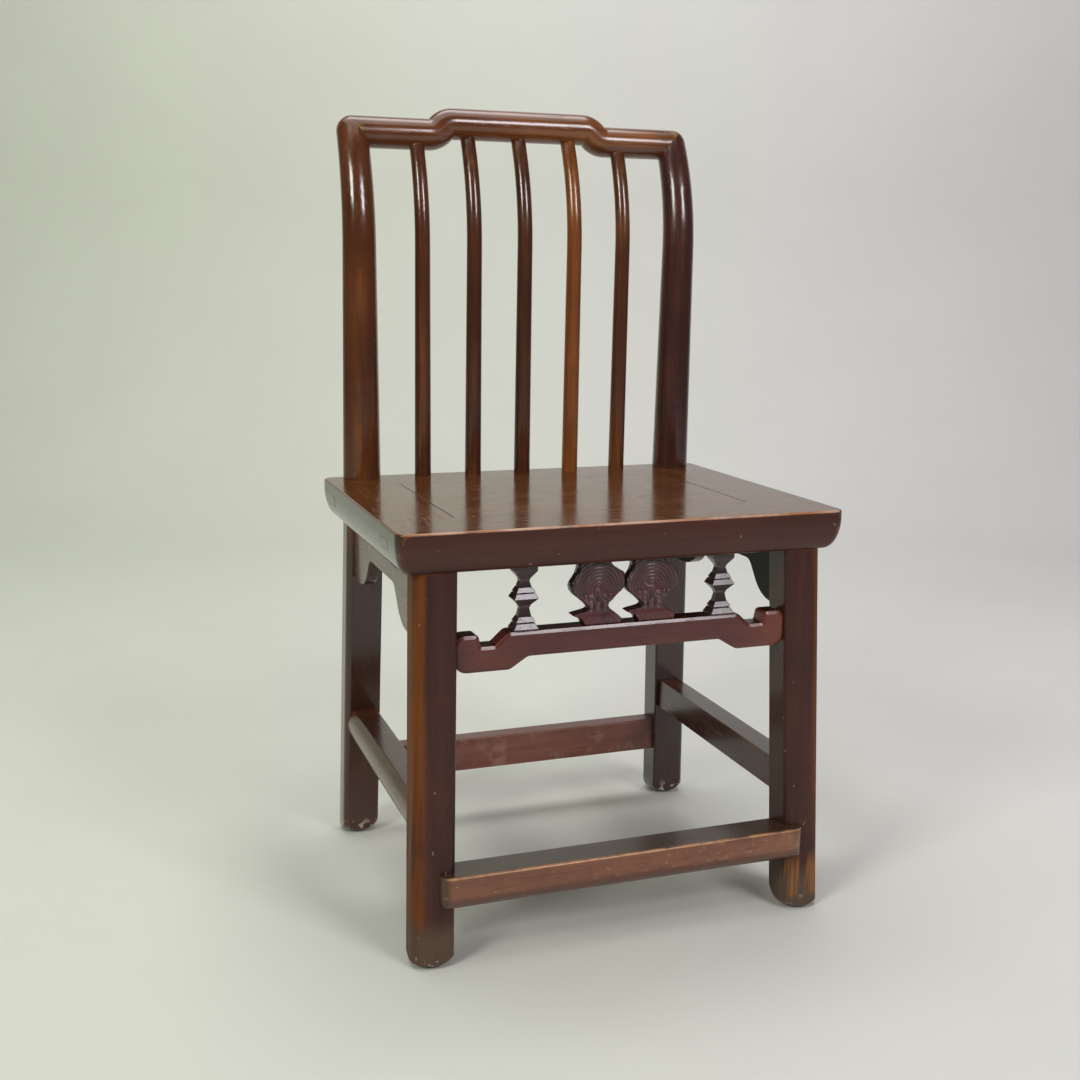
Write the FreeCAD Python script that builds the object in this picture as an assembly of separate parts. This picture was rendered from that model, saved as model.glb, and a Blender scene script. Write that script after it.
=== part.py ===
import math
import os

import FreeCAD
import Part
from FreeCAD import Vector

# Side chair with a comb back, in millimetres, +Z up, with its front towards -Y.
# It is drawn about the middle of the seat, and the whole is then centred on its own footprint.

# Seat frame and panel
seat_width = 500.0
seat_depth = 394.0
seat_height = 460.0
seat_thickness = 43.0
seat_frame_width = 79.0
seat_corner_round = 12.0
edge_upright = 18.0
edge_inset = 9.0
edge_round = 2.5
panel_thickness = 12.0
tongue_thickness = 6.0
tongue_reach = 8.0
panel_side_gap = 0.6
frame_tenon_width = 30.0
frame_tenon_thickness = 11.0
frame_tenon_top = 13.5
frame_tenon_margin = 5.0

# Battens under the panel
batten_spacing = 140.0
batten_width = 24.0
batten_height = 15.0
dovetail_neck = 13.0
dovetail_crown = 17.0
dovetail_height = 4.0
batten_tenon_thickness = 10.0
batten_tenon_reach = 14.0

# Legs
leg_width = 44.5
leg_depth = 40.0
leg_outer_round = 14.0
leg_side_round = 7.0
leg_inner_round = 2.0
leg_side_inset = 43.0
front_leg_inset = 30.0
leg_side_splay = 10.0
leg_front_splay = 16.0
leg_back_splay = 16.0
foot_round = 23.0
foot_flat = 14.0
leg_tenon_side = 14.0
leg_tenon_shift = 3.5
leg_tenon_height = 16.0

# Line of the back, shared by the stiles and the spindles
back_inset = 30.0
back_lean_degrees = 1.6
bend_start_rise = 280.0
bend_radius = 270.0
stile_base_diameter = 46.5
stile_neck_diameter = 39.0

# Crest rail
crest_rise = 413.0
crest_diameter = 37.0
hump_rise = 13.5
hump_half_length = 84.0
hump_bend_margin = 1.5
corner_tenon_diameter = 12.0
corner_tenon_length = 22.0

# Spindles
spindle_count = 5
spindle_pitch = 65.0
spindle_base_diameter = 20.5
spindle_top_diameter = 17.8
spindle_tenon_diameter = 9.0
spindle_tenon_reach = 14.0

# Side and back aprons
apron_height = 36.0
apron_thickness = 14.0
apron_setback = 7.2
drop_height = 40.0
drop_length = 56.5
drop_slope_length = 31.0
drop_round = 16.0
drop_foot_round = 50.0
apron_tongue_thickness = 7.0
apron_tongue_reach = 8.0
apron_tongue_margin = 9.0
back_apron_height = 34.0

# Hump stretcher under the front of the seat
strut_height = 67.5
hump_stretcher_height = 27.0
hump_stretcher_thickness = 22.0
hump_stretcher_setback = 7.0
hump_drop = 13.0
hump_drop_setback = 28.0
hump_drop_run = 18.0
tab_length = 23.8
notch_length = 22.0
notch_depth = 13.0
tab_fall = 2.0
shoulder_length = 12.0
stretcher_corner = 5.0

# Balusters
baluster_setback = 29.0
baluster_width = 27.0
baluster_depth = 21.0
baluster_neck = 10.0
baluster_cap_width = 25.0
baluster_cap_height = 4.0
baluster_flare = 10.0
baluster_band = 4.0
plinth_height = 6.0
tier_width = 19.0
tier_height = 5.0
strut_tenon_side = 7.0
strut_tenon_reach = 6.0

# Blossom struts
blossom_width = 57.6
blossom_spacing = 57.8
blossom_thickness = 16.0
blossom_crown_width = 40.0
blossom_crown_drop = 14.0
blossom_cheek_height = 37.0
blossom_chin_width = 40.0
blossom_chin_height = 30.0
blossom_waist = 25.0
blossom_waist_height = 19.0
blossom_leaf_reach = 27.5
blossom_leaf_height = 15.5
blossom_leaf_root = 17.0
blossom_leaf_drop = 6.0
blossom_stem_reach = 11.0
blossom_foot_reach = 26.0
blossom_foot_height = 5.0
blossom_round = 3.0

# Low stretchers
side_stretcher_bottom = 130.5
side_stretcher_height = 38.0
side_stretcher_width = 36.0
side_stretcher_inset = 3.2
side_stretcher_bulge = 9.0
back_stretcher_bottom = 66.5
back_stretcher_height = 43.0
back_stretcher_thickness = 24.0
back_stretcher_inset = 8.0
stretcher_arris = 2.0
stretcher_tenon_thickness = 11.0
stretcher_tenon_margin = 7.0
tenon_past_middle = 4.0

# Foot rest
foot_rest_bottom = 64.0
foot_rest_height = 38.0
foot_rest_depth = 40.0
foot_rest_proud = 11.0
foot_rest_lap = 18.2
foot_rest_tenon_setback = 10.0
foot_rest_end_round = 14.0
foot_rest_end_rise = 16.0
foot_rest_under_round = 15.0

# Gap left round tenons and tongues
joint_clearance = 0.15

underside = seat_height - seat_thickness
half_width = seat_width / 2
half_depth = seat_depth / 2
opening_x = half_width - seat_frame_width
opening_y = half_depth - seat_frame_width
leg_top_x = half_width - leg_side_inset
front_leg_top_y = half_depth - front_leg_inset
back_base_y = half_depth - back_inset
back_lean = math.radians(back_lean_degrees)
bend_start_height = seat_height + bend_start_rise
crest_height = seat_height + crest_rise
hump_stretcher_top = underside - strut_height


def slab(bounds, extra=0.0):
    # A box from its two bounds along each axis, grown by an extra on every side.
    x0, x1, y0, y1, z0, z1 = bounds
    low = Vector(x0 - extra, y0 - extra, z0 - extra)
    return Part.makeBox(x1 - x0 + 2 * extra, y1 - y0 + 2 * extra, z1 - z0 + 2 * extra, low)


def mirrored(shape):
    return shape.mirror(Vector(0, 0, 0), Vector(1, 0, 0))


def both_sides(shape):
    return shape.fuse(mirrored(shape))


def rounded_wire(corners):
    # A closed wire through corners given as (point, radius). A radius of 0 leaves the corner sharp.
    starts = []
    ends = []
    arcs = []
    for i, (corner, radius) in enumerate(corners):
        before = (corners[i - 1][0] - corner).normalize()
        after = (corners[(i + 1) % len(corners)][0] - corner).normalize()
        half_angle = before.getAngle(after) / 2
        reach = radius / math.tan(half_angle)
        starts.append(corner + before * reach)
        ends.append(corner + after * reach)
        arc = None
        if radius > 0:
            bisector = (before + after).normalize()
            middle = corner + bisector * (radius / math.sin(half_angle) - radius)
            arc = Part.Arc(starts[i], middle, ends[i]).toShape()
        arcs.append(arc)
    edges = []
    for i, arc in enumerate(arcs):
        if (starts[i] - ends[i - 1]).Length > 1e-6:
            edges.append(Part.makeLine(ends[i - 1], starts[i]))
        if arc:
            edges.append(arc)
    return Part.Wire(edges)


def prism(corners, along):
    return Part.Face(rounded_wire(corners)).extrude(along)


def half_space(point, normal, reach):
    # A drum whose flat end lies on the plane through the point.
    return Part.makeCylinder(reach, reach, point, normal)


# The line of the back: a straight stretch that leans forward a little, then an arc to the rear.
def back_point(x, z):
    bend_y = back_base_y - (bend_start_height - seat_height) * math.tan(back_lean)
    if z <= bend_start_height:
        return Vector(x, back_base_y - (z - seat_height) * math.tan(back_lean), z)
    centre_y = bend_y + bend_radius * math.cos(back_lean)
    angle = back_angle(z)
    return Vector(x, centre_y - bend_radius * math.cos(angle), z)


def back_angle(z):
    # How far the line of the back leans to the rear at a height.
    if z <= bend_start_height:
        return -back_lean
    return math.asin((z - bend_start_height) / bend_radius - math.sin(back_lean))


def back_direction(z):
    angle = back_angle(z)
    return Vector(0, math.sin(angle), math.cos(angle))


def back_rod(x, low, high, base_diameter, top_diameter):
    # A tapered round rod along the line of the back, between two heights.
    middle = (bend_start_height + high) / 2
    straight = Part.makeLine(back_point(x, low), back_point(x, bend_start_height))
    bend = Part.Arc(back_point(x, bend_start_height), back_point(x, middle), back_point(x, high))
    path = Part.Wire([straight, bend.toShape()])
    rings = []
    for z, diameter in ((low, base_diameter), (high, top_diameter)):
        rings.append(Part.Wire([Part.makeCircle(diameter / 2, back_point(x, z), back_direction(z))]))
    return path.makePipeShell(rings, True, False)


crest_y = back_point(0, crest_height).y
back_leg_top_y = back_point(0, underside).y


# Legs. Each one leans outwards from the seat to its foot, with level ends.
def leg_centre(side, z):
    top_y = -front_leg_top_y if side < 0 else back_leg_top_y
    splay_y = -leg_front_splay if side < 0 else leg_back_splay
    spread = 1 - z / underside
    return Vector(leg_top_x + leg_side_splay * spread, top_y + splay_y * spread, z)


def leg_ring(side, z):
    middle = leg_centre(side, z)
    dx = leg_width / 2
    dy = leg_depth / 2 * side
    return rounded_wire([
        (middle + Vector(dx, dy, 0), leg_outer_round),
        (middle + Vector(-dx, dy, 0), leg_side_round),
        (middle + Vector(-dx, -dy, 0), leg_inner_round),
        (middle + Vector(dx, -dy, 0), leg_side_round),
    ])


def leg_blank(side):
    return Part.makeLoft([leg_ring(side, 0), leg_ring(side, underside)], True, True)


def foot_rounding(side):
    # What the worn, rounded foot has lost: all that lies outside a turned dome.
    foot = leg_centre(side, 0)
    top = foot + Vector(0, 0, foot_round)
    flat_edge = foot + Vector(foot_flat / 2, 0, 0)
    rim = top + Vector(foot_flat / 2 + foot_round, 0, 0)
    middle = top + Vector(foot_flat / 2, 0, 0) + Vector(1, 0, -1).normalize() * foot_round
    profile = Part.Wire([
        Part.makeLine(foot, flat_edge),
        Part.Arc(flat_edge, middle, rim).toShape(),
        Part.makeLine(rim, top),
        Part.makeLine(top, foot),
    ])
    dome = Part.Face(profile).revolve(foot, Vector(0, 0, 1), 360)
    around = Part.makeCylinder(leg_width + leg_depth, foot_round, foot)
    return around.cut(dome)


front_blank = leg_blank(-1)
back_blank = leg_blank(1)


# Tenons, each as the bounds of a box on the +X side.
def cross_tenon(side, middle_y, bottom, height):
    # The end of a rail that runs from side to side.
    middle_z = bottom + height / 2
    leg_x = leg_centre(side, middle_z).x
    half = stretcher_tenon_thickness / 2
    margin = stretcher_tenon_margin
    return (leg_x - leg_width, leg_x + tenon_past_middle,
            middle_y - half, middle_y + half, bottom + margin, bottom + height - margin)


def side_tenon(side, middle_x, thickness, reach, bottom, top):
    # The end of a piece that runs from front to back.
    leg_y = leg_centre(side, (bottom + top) / 2).y
    inner_y = leg_y - side * (leg_depth / 2 - reach)
    free_y = leg_y - side * leg_depth
    near, far = sorted((inner_y, free_y))
    return (middle_x - thickness / 2, middle_x + thickness / 2, near, far, bottom, top)


# Hump stretcher
hump_stretcher_middle = hump_stretcher_top - hump_stretcher_height / 2
front_leg_face = leg_centre(-1, hump_stretcher_middle).y - leg_depth / 2
notch_end = leg_centre(-1, hump_stretcher_middle).x - leg_width / 2 - tab_length
notch_start = notch_end - notch_length
hump_drop_start = notch_start - hump_drop_setback
baluster_x = notch_start - baluster_setback
hump_stretcher_y = front_leg_face + hump_stretcher_setback
hump_stretcher_back = hump_stretcher_y + hump_stretcher_thickness
hump_stretcher_low = hump_stretcher_top - hump_stretcher_height - hump_drop
hump_tenon = cross_tenon(-1, (hump_stretcher_y + hump_stretcher_back) / 2, hump_stretcher_low,
                         hump_stretcher_height + hump_drop - notch_depth)


def make_hump_stretcher():
    end = leg_top_x
    top = hump_stretcher_top
    low = hump_stretcher_low
    half = [
        (hump_drop_start, low + hump_drop, stretcher_corner),
        (hump_drop_start + hump_drop_run, low, stretcher_corner),
        (end, low, 0),
        (end, top - tab_fall, 0),
        (notch_end, top - tab_fall, stretcher_corner),
        (notch_end, top - notch_depth, 0),
        (notch_start, top - notch_depth, 0),
        (notch_start, top - stretcher_corner, 0),
        (notch_start - shoulder_length, top, stretcher_corner),
    ]
    right = [(Vector(x, hump_stretcher_y, z), r) for x, z, r in half]
    left = [(Vector(-x, hump_stretcher_y, z), r) for x, z, r in reversed(half)]
    body = prism(right + left, Vector(0, hump_stretcher_thickness, 0))
    body = body.cut(both_sides(front_blank))
    for x in strut_xs:
        body = body.cut(strut_tenon(x, hump_stretcher_top, joint_clearance))
    return body.fuse(both_sides(slab(hump_tenon)))


# Struts between the hump stretcher and the seat
strut_y = hump_stretcher_y + hump_stretcher_thickness / 2
strut_xs = [side * place for place in (baluster_x, blossom_spacing / 2) for side in (-1, 1)]


def strut_tenon(x, z, extra=0.0):
    half = strut_tenon_side / 2
    reach = strut_tenon_reach
    return slab((x - half, x + half, strut_y - half, strut_y + half, z - reach, z + reach), extra)


def baluster_outline(width, place):
    # One view of a baluster, as wide as asked for, with its corners put in place by a function.
    share = width / baluster_width
    bottom = hump_stretcher_top
    waist_low = bottom + plinth_height + tier_height + baluster_flare
    waist_high = underside - baluster_cap_height - baluster_flare
    middle = (waist_low + waist_high) / 2
    steps = [
        (baluster_width, bottom),
        (baluster_width, bottom + plinth_height),
        (tier_width, bottom + plinth_height),
        (tier_width, bottom + plinth_height + tier_height),
        (baluster_neck, waist_low),
        (baluster_width, middle - baluster_band / 2),
        (baluster_width, middle + baluster_band / 2),
        (baluster_neck, waist_high),
        (baluster_cap_width, underside - baluster_cap_height),
        (baluster_cap_width, underside),
    ]
    right = [(place(share * step / 2, z), 0) for step, z in steps]
    left = [(place(-share * step / 2, z), 0) for step, z in reversed(steps)]
    return right + left


def make_baluster():
    front = strut_y - baluster_width
    side = baluster_x - baluster_width
    facing = prism(baluster_outline(baluster_width, lambda u, z: Vector(baluster_x + u, front, z)),
                   Vector(0, 2 * baluster_width, 0))
    profile = prism(baluster_outline(baluster_depth, lambda u, z: Vector(side, strut_y + u, z)),
                    Vector(2 * baluster_width, 0, 0))
    body = facing.common(profile)
    for z in (hump_stretcher_top, underside):
        body = body.fuse(strut_tenon(baluster_x, z))
    return body


def make_blossom():
    # A fan-shaped flower head on a narrow waist, with a leaf tip on one side of its foot.
    bottom = hump_stretcher_top
    leaf = bottom + blossom_leaf_height
    soft = blossom_round
    head = [
        (blossom_chin_width / 2, bottom + blossom_chin_height, soft),
        (blossom_width / 2, bottom + blossom_cheek_height, soft),
        (blossom_width / 2, underside - blossom_crown_drop, soft),
        (blossom_crown_width / 2, underside, 0),
    ]
    foot = [
        (blossom_foot_reach, bottom, 0),
        (blossom_foot_reach, bottom + blossom_foot_height, 0),
        (blossom_waist / 2, bottom + blossom_waist_height, soft),
    ]
    leafy_foot = [
        (-blossom_waist / 2, bottom + blossom_waist_height, 0),
        (-blossom_leaf_reach, leaf, 0),
        (-blossom_leaf_root, leaf - blossom_leaf_drop, 0),
        (-blossom_stem_reach, bottom, 0),
    ]
    mirrored_head = [(-x, z, r) for x, z, r in reversed(head)]
    middle = blossom_spacing / 2
    front = strut_y - blossom_thickness / 2
    corners = [(Vector(middle + x, front, z), r) for x, z, r in foot + head + mirrored_head + leafy_foot]
    body = prism(corners, Vector(0, blossom_thickness, 0))
    for z in (hump_stretcher_top, underside):
        body = body.fuse(strut_tenon(middle, z))
    return body


# Low stretchers
side_stretcher_top = side_stretcher_bottom + side_stretcher_height
side_stretcher_middle = side_stretcher_bottom + side_stretcher_height / 2
side_stretcher_outer = leg_centre(-1, side_stretcher_middle).x + leg_width / 2 - side_stretcher_inset
side_stretcher_x = side_stretcher_outer - side_stretcher_width / 2
side_stretcher_tenons = [
    side_tenon(side, side_stretcher_x, stretcher_tenon_thickness, leg_depth / 2 + tenon_past_middle,
               side_stretcher_bottom + stretcher_tenon_margin, side_stretcher_top - stretcher_tenon_margin)
    for side in (-1, 1)
]
back_stretcher_middle = back_stretcher_bottom + back_stretcher_height / 2
back_stretcher_rear = leg_centre(1, back_stretcher_middle).y + leg_depth / 2 - back_stretcher_inset
back_stretcher_y = back_stretcher_rear - back_stretcher_thickness
back_stretcher_tenon = cross_tenon(1, back_stretcher_rear - back_stretcher_thickness / 2,
                                   back_stretcher_bottom, back_stretcher_height)


def make_side_stretcher():
    front = leg_centre(-1, side_stretcher_middle).y
    rear = leg_centre(1, side_stretcher_middle).y
    inner = side_stretcher_outer - side_stretcher_width
    arris = side_stretcher_outer - side_stretcher_bulge
    low_inner = Vector(inner, front, side_stretcher_bottom)
    low_arris = Vector(arris, front, side_stretcher_bottom)
    bulge = Vector(side_stretcher_outer, front, side_stretcher_middle)
    top_arris = Vector(arris, front, side_stretcher_top)
    top_inner = Vector(inner, front, side_stretcher_top)
    section = Part.Wire([
        Part.makeLine(top_inner, low_inner),
        Part.makeLine(low_inner, low_arris),
        Part.Arc(low_arris, bulge, top_arris).toShape(),
        Part.makeLine(top_arris, top_inner),
    ])
    body = Part.Face(section).extrude(Vector(0, rear - front, 0)).cut(front_blank).cut(back_blank)
    for tenon in side_stretcher_tenons:
        body = body.fuse(slab(tenon))
    return body


def make_back_stretcher():
    end = leg_top_x
    top = back_stretcher_bottom + back_stretcher_height
    corners = [
        (Vector(-end, back_stretcher_y, back_stretcher_bottom), stretcher_arris),
        (Vector(-end, back_stretcher_rear, back_stretcher_bottom), stretcher_arris),
        (Vector(-end, back_stretcher_rear, top), stretcher_arris),
        (Vector(-end, back_stretcher_y, top), stretcher_arris),
    ]
    body = prism(corners, Vector(2 * end, 0, 0)).cut(both_sides(back_blank))
    return body.fuse(both_sides(slab(back_stretcher_tenon)))


# Foot rest
foot_rest_top = foot_rest_bottom + foot_rest_height
foot_rest_middle = leg_centre(-1, foot_rest_bottom + foot_rest_height / 2)
foot_rest_front = foot_rest_middle.y - leg_depth / 2 - foot_rest_proud
foot_rest_rear = foot_rest_front + foot_rest_depth
foot_rest_end = foot_rest_middle.x - leg_width / 2 + foot_rest_lap
foot_rest_tenon = cross_tenon(-1, foot_rest_rear - foot_rest_tenon_setback,
                              foot_rest_bottom, foot_rest_height)


def make_foot_rest():
    section = [
        (Vector(-foot_rest_end, foot_rest_front, foot_rest_top), stretcher_arris),
        (Vector(-foot_rest_end, foot_rest_front, foot_rest_bottom), foot_rest_under_round),
        (Vector(-foot_rest_end, foot_rest_rear, foot_rest_bottom), stretcher_arris),
        (Vector(-foot_rest_end, foot_rest_rear, foot_rest_top), stretcher_arris),
    ]
    plan = [
        (Vector(-foot_rest_end, foot_rest_front, foot_rest_bottom), foot_rest_end_round),
        (Vector(foot_rest_end, foot_rest_front, foot_rest_bottom), foot_rest_end_round),
        (Vector(foot_rest_end, foot_rest_rear, foot_rest_bottom), 0),
        (Vector(-foot_rest_end, foot_rest_rear, foot_rest_bottom), 0),
    ]
    face = [
        (Vector(-foot_rest_end, foot_rest_front, foot_rest_bottom), foot_rest_end_rise),
        (Vector(foot_rest_end, foot_rest_front, foot_rest_bottom), foot_rest_end_rise),
        (Vector(foot_rest_end, foot_rest_front, foot_rest_top), 0),
        (Vector(-foot_rest_end, foot_rest_front, foot_rest_top), 0),
    ]
    body = prism(section, Vector(2 * foot_rest_end, 0, 0))
    body = body.common(prism(plan, Vector(0, 0, foot_rest_height)))
    body = body.common(prism(face, Vector(0, foot_rest_depth, 0)))
    body = body.cut(both_sides(front_blank))
    return body.fuse(both_sides(slab(foot_rest_tenon)))


# Aprons
apron_outer = leg_centre(-1, underside).x + leg_width / 2 - apron_setback
apron_x = apron_outer - apron_thickness / 2
apron_low = underside - apron_height - drop_height
apron_tongues = [
    side_tenon(side, apron_x, apron_tongue_thickness, apron_tongue_reach,
               apron_low + apron_tongue_margin, underside - apron_tongue_margin)
    for side in (-1, 1)
]
back_apron_y = back_leg_top_y + leg_depth / 2 - apron_setback - apron_thickness
back_apron_tongue = (
    leg_top_x - leg_width, leg_top_x - leg_width / 2 + apron_tongue_reach,
    back_apron_y + (apron_thickness - apron_tongue_thickness) / 2,
    back_apron_y + (apron_thickness + apron_tongue_thickness) / 2,
    underside - back_apron_height + apron_tongue_margin, underside - apron_tongue_margin)


def make_side_apron():
    front = leg_centre(-1, underside).y + leg_depth / 2
    rear = leg_centre(1, underside).y - leg_depth / 2
    low = apron_low
    arch = underside - apron_height
    inner = apron_outer - apron_thickness
    step = drop_length + drop_slope_length
    corners = [
        (Vector(inner, front - leg_depth / 2, underside), 0),
        (Vector(inner, front - leg_depth / 2, low), 0),
        (Vector(inner, front + drop_length, low), drop_foot_round),
        (Vector(inner, front + step, arch), drop_round),
        (Vector(inner, rear - step, arch), drop_round),
        (Vector(inner, rear - drop_length, low), drop_foot_round),
        (Vector(inner, rear + leg_depth / 2, low), 0),
        (Vector(inner, rear + leg_depth / 2, underside), 0),
    ]
    body = prism(corners, Vector(apron_thickness, 0, 0)).cut(front_blank).cut(back_blank)
    for tongue in apron_tongues:
        body = body.fuse(slab(tongue))
    return body


def make_back_apron():
    body = slab((-leg_top_x, leg_top_x, back_apron_y, back_apron_y + apron_thickness,
                 underside - back_apron_height, underside))
    body = body.cut(both_sides(back_blank))
    return body.fuse(both_sides(slab(back_apron_tongue)))


# Seat frame. The section runs from the inner edge, at 0, to the moulded outer edge.
def frame_prism(place, along):
    edge_drop = seat_thickness - edge_upright
    radius = (edge_drop ** 2 + edge_inset ** 2) / (2 * edge_inset)
    half_sweep = math.asin(edge_drop / radius) / 2
    belly = seat_frame_width - radius * (1 - math.cos(half_sweep))
    belly_z = seat_height - edge_upright - radius * math.sin(half_sweep)
    eased = edge_round * (1 - math.cos(math.pi / 4))
    inner_top = place(0, seat_height)
    round_start = place(seat_frame_width - edge_round, seat_height)
    round_middle = place(seat_frame_width - eased, seat_height - eased)
    round_end = place(seat_frame_width, seat_height - edge_round)
    outer_low = place(seat_frame_width, seat_height - edge_upright)
    under_outer = place(seat_frame_width - edge_inset, underside)
    under_inner = place(0, underside)
    wire = Part.Wire([
        Part.makeLine(inner_top, round_start),
        Part.Arc(round_start, round_middle, round_end).toShape(),
        Part.makeLine(round_end, outer_low),
        Part.Arc(outer_low, place(belly, belly_z), under_outer).toShape(),
        Part.makeLine(under_outer, under_inner),
        Part.makeLine(under_inner, inner_top),
    ])
    return Part.Face(wire).extrude(along)


def mitre_wedge(side):
    # The corner region that belongs to the side rail, beyond the mitre.
    far = seat_frame_width * 2
    points = [
        Vector(opening_x, side * opening_y, underside),
        Vector(opening_x + far, side * (opening_y + far), underside),
        Vector(opening_x + far, 0, underside),
        Vector(opening_x, 0, underside),
    ]
    return prism([(point, 0) for point in points], Vector(0, 0, seat_thickness))


def seat_plan():
    # The whole seat as seen from above, with its corners eased.
    corners = []
    for x, y in ((-1, -1), (1, -1), (1, 1), (-1, 1)):
        corners.append((Vector(x * half_width, y * half_depth, underside), seat_corner_round))
    return prism(corners, Vector(0, 0, seat_thickness))


full_side_rail = frame_prism(lambda u, z: Vector(opening_x + u, -half_depth, z), Vector(0, seat_depth, 0))
full_side_rail = full_side_rail.common(seat_plan())
frame_tenon_low = seat_height - frame_tenon_top - frame_tenon_thickness


def frame_tenon(side, extra=0.0):
    # The end of a long rail, which runs right through the side rail and shows on its face.
    near = opening_y + frame_tenon_margin
    y0, y1 = sorted((side * near, side * (near + frame_tenon_width)))
    bounds = (opening_x, half_width, y0, y1, frame_tenon_low, frame_tenon_low + frame_tenon_thickness)
    return slab(bounds, extra)


def groove():
    # The space that the panel's tongue takes in the frame.
    reach = tongue_reach
    floor = seat_height - panel_thickness
    return slab((-opening_x - reach, opening_x + reach, -opening_y - reach, opening_y + reach,
                 floor, floor + tongue_thickness), joint_clearance)


def stile_neck(extra=0.0):
    # The slimmer round part of a back leg that goes through the seat, along the line of the back.
    low = back_point(leg_top_x, underside)
    direction = back_direction(seat_height)
    radius = stile_neck_diameter / 2 + extra
    start = low - direction * seat_thickness
    return Part.makeCylinder(radius, 3 * seat_thickness, start, direction)


def leg_tenon(extra=0.0):
    # The stub on a front leg, held in the front rail clear of the mitre.
    top = leg_centre(-1, underside)
    half = leg_tenon_side / 2
    x = top.x - leg_tenon_shift
    y = top.y - leg_tenon_shift
    return slab((x - half, x + half, y - half, y + half, underside, underside + leg_tenon_height), extra)


def batten_tenon(side, extra=0.0):
    left = (batten_spacing - batten_width) / 2
    low = seat_height - panel_thickness - batten_height
    y0, y1 = sorted((side * (opening_y - batten_width), side * (opening_y + batten_tenon_reach)))
    return slab((left, left + batten_width, y0, y1, low, low + batten_tenon_thickness), extra)


def make_long_rail(side):
    start = Vector(-half_width, 0, 0)
    rail = frame_prism(lambda u, z: start + Vector(0, side * (opening_y + u), z), Vector(seat_width, 0, 0))
    rail = rail.cut(both_sides(mitre_wedge(side))).common(seat_plan())
    rail = rail.fuse(both_sides(frame_tenon(side).common(full_side_rail)))
    rail = rail.cut(groove())
    return rail.cut(both_sides(batten_tenon(side, joint_clearance)))


def make_front_rail():
    rail = make_long_rail(-1).cut(both_sides(leg_tenon(joint_clearance)))
    for x in strut_xs:
        rail = rail.cut(strut_tenon(x, underside, joint_clearance))
    return rail


def make_back_rail():
    rail = make_long_rail(1).cut(both_sides(stile_neck(joint_clearance)))
    for x in spindle_xs:
        rail = rail.cut(spindle_foot(x, joint_clearance))
    return rail


def make_side_rail():
    rail = full_side_rail.common(mitre_wedge(-1).fuse(mitre_wedge(1)))
    rail = rail.cut(groove()).cut(stile_neck(joint_clearance)).cut(leg_tenon(joint_clearance))
    for side in (-1, 1):
        rail = rail.cut(frame_tenon(side, joint_clearance))
    return rail


def dovetail(half_length, extra=0.0):
    x = batten_spacing / 2
    floor = seat_height - panel_thickness
    neck = dovetail_neck / 2 + extra
    crown = dovetail_crown / 2 + extra
    top = floor + dovetail_height + extra
    corners = [
        Vector(x - neck, -half_length, floor),
        Vector(x + neck, -half_length, floor),
        Vector(x + crown, -half_length, top),
        Vector(x - crown, -half_length, top),
    ]
    return prism([(corner, 0) for corner in corners], Vector(0, 2 * half_length, 0))


def make_panel():
    floor = seat_height - panel_thickness
    tongue_x = opening_x + tongue_reach
    tongue_y = opening_y + tongue_reach
    top_x = opening_x - panel_side_gap
    top_y = opening_y - joint_clearance
    board = slab((-top_x, top_x, -top_y, top_y, floor, seat_height))
    lip = slab((-tongue_x, tongue_x, -tongue_y, tongue_y, floor, floor + tongue_thickness))
    return board.fuse(lip).cut(both_sides(dovetail(tongue_y, joint_clearance)))


def make_batten():
    left = (batten_spacing - batten_width) / 2
    top = seat_height - panel_thickness
    half_length = opening_y - joint_clearance
    body = slab((left, left + batten_width, -half_length, half_length, top - batten_height, top))
    body = body.fuse(dovetail(half_length))
    for side in (-1, 1):
        body = body.fuse(batten_tenon(side))
    return body


# Back
spindle_xs = [(i - (spindle_count - 1) / 2) * spindle_pitch for i in range(spindle_count)]
crest_corner = back_point(leg_top_x, crest_height)
crest_radius = crest_diameter / 2
corner_normal = (Vector(1, 0, 0) - back_direction(crest_height)).normalize()


def corner_tenon(extra=0.0):
    # The stub across the mitre between a back leg and the crest rail.
    start = crest_corner + corner_normal * (corner_tenon_length / 2 + extra)
    radius = corner_tenon_diameter / 2 + extra
    return Part.makeCylinder(radius, corner_tenon_length + 2 * extra, start, corner_normal * -1)


def make_crest():
    radius = crest_radius + hump_bend_margin
    sweep = math.acos(1 - hump_rise / (2 * radius))
    run = radius * math.sin(sweep)
    near = hump_half_length
    centre_near = Vector(near, crest_y, crest_height + hump_rise - radius)
    centre_far = Vector(near + 2 * run, crest_y, crest_height + radius)
    top_start = Vector(near, crest_y, crest_height + hump_rise)
    turn = Vector(near + run, crest_y, crest_height + hump_rise / 2)
    low_end = Vector(near + 2 * run, crest_y, crest_height)
    lift = Vector(math.sin(sweep / 2), 0, math.cos(sweep / 2)) * radius
    right = [
        Part.makeLine(crest_corner, low_end),
        Part.Arc(low_end, centre_far - lift, turn).toShape(),
        Part.Arc(turn, centre_near + lift, top_start).toShape(),
    ]
    left = [mirrored(edge) for edge in right]
    level = Part.makeLine(top_start, Vector(-near, crest_y, crest_height + hump_rise))
    path = Part.Wire(Part.__sortEdges__(right + [level] + left))
    ring = Part.Wire([Part.makeCircle(crest_radius, crest_corner, Vector(1, 0, 0))])
    body = path.makePipeShell([ring], True, False)
    body = body.fuse(both_sides(Part.makeSphere(crest_radius, crest_corner)))
    body = body.cut(both_sides(half_space(crest_corner, corner_normal, 3 * crest_diameter)))
    return body.cut(both_sides(corner_tenon(joint_clearance)))


def spindle_foot(x, extra=0.0):
    base = back_point(x, seat_height)
    direction = back_direction(seat_height)
    start = base - direction * (spindle_tenon_reach + extra)
    return Part.makeCylinder(spindle_tenon_diameter / 2 + extra, 2 * spindle_tenon_reach, start, direction)


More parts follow.
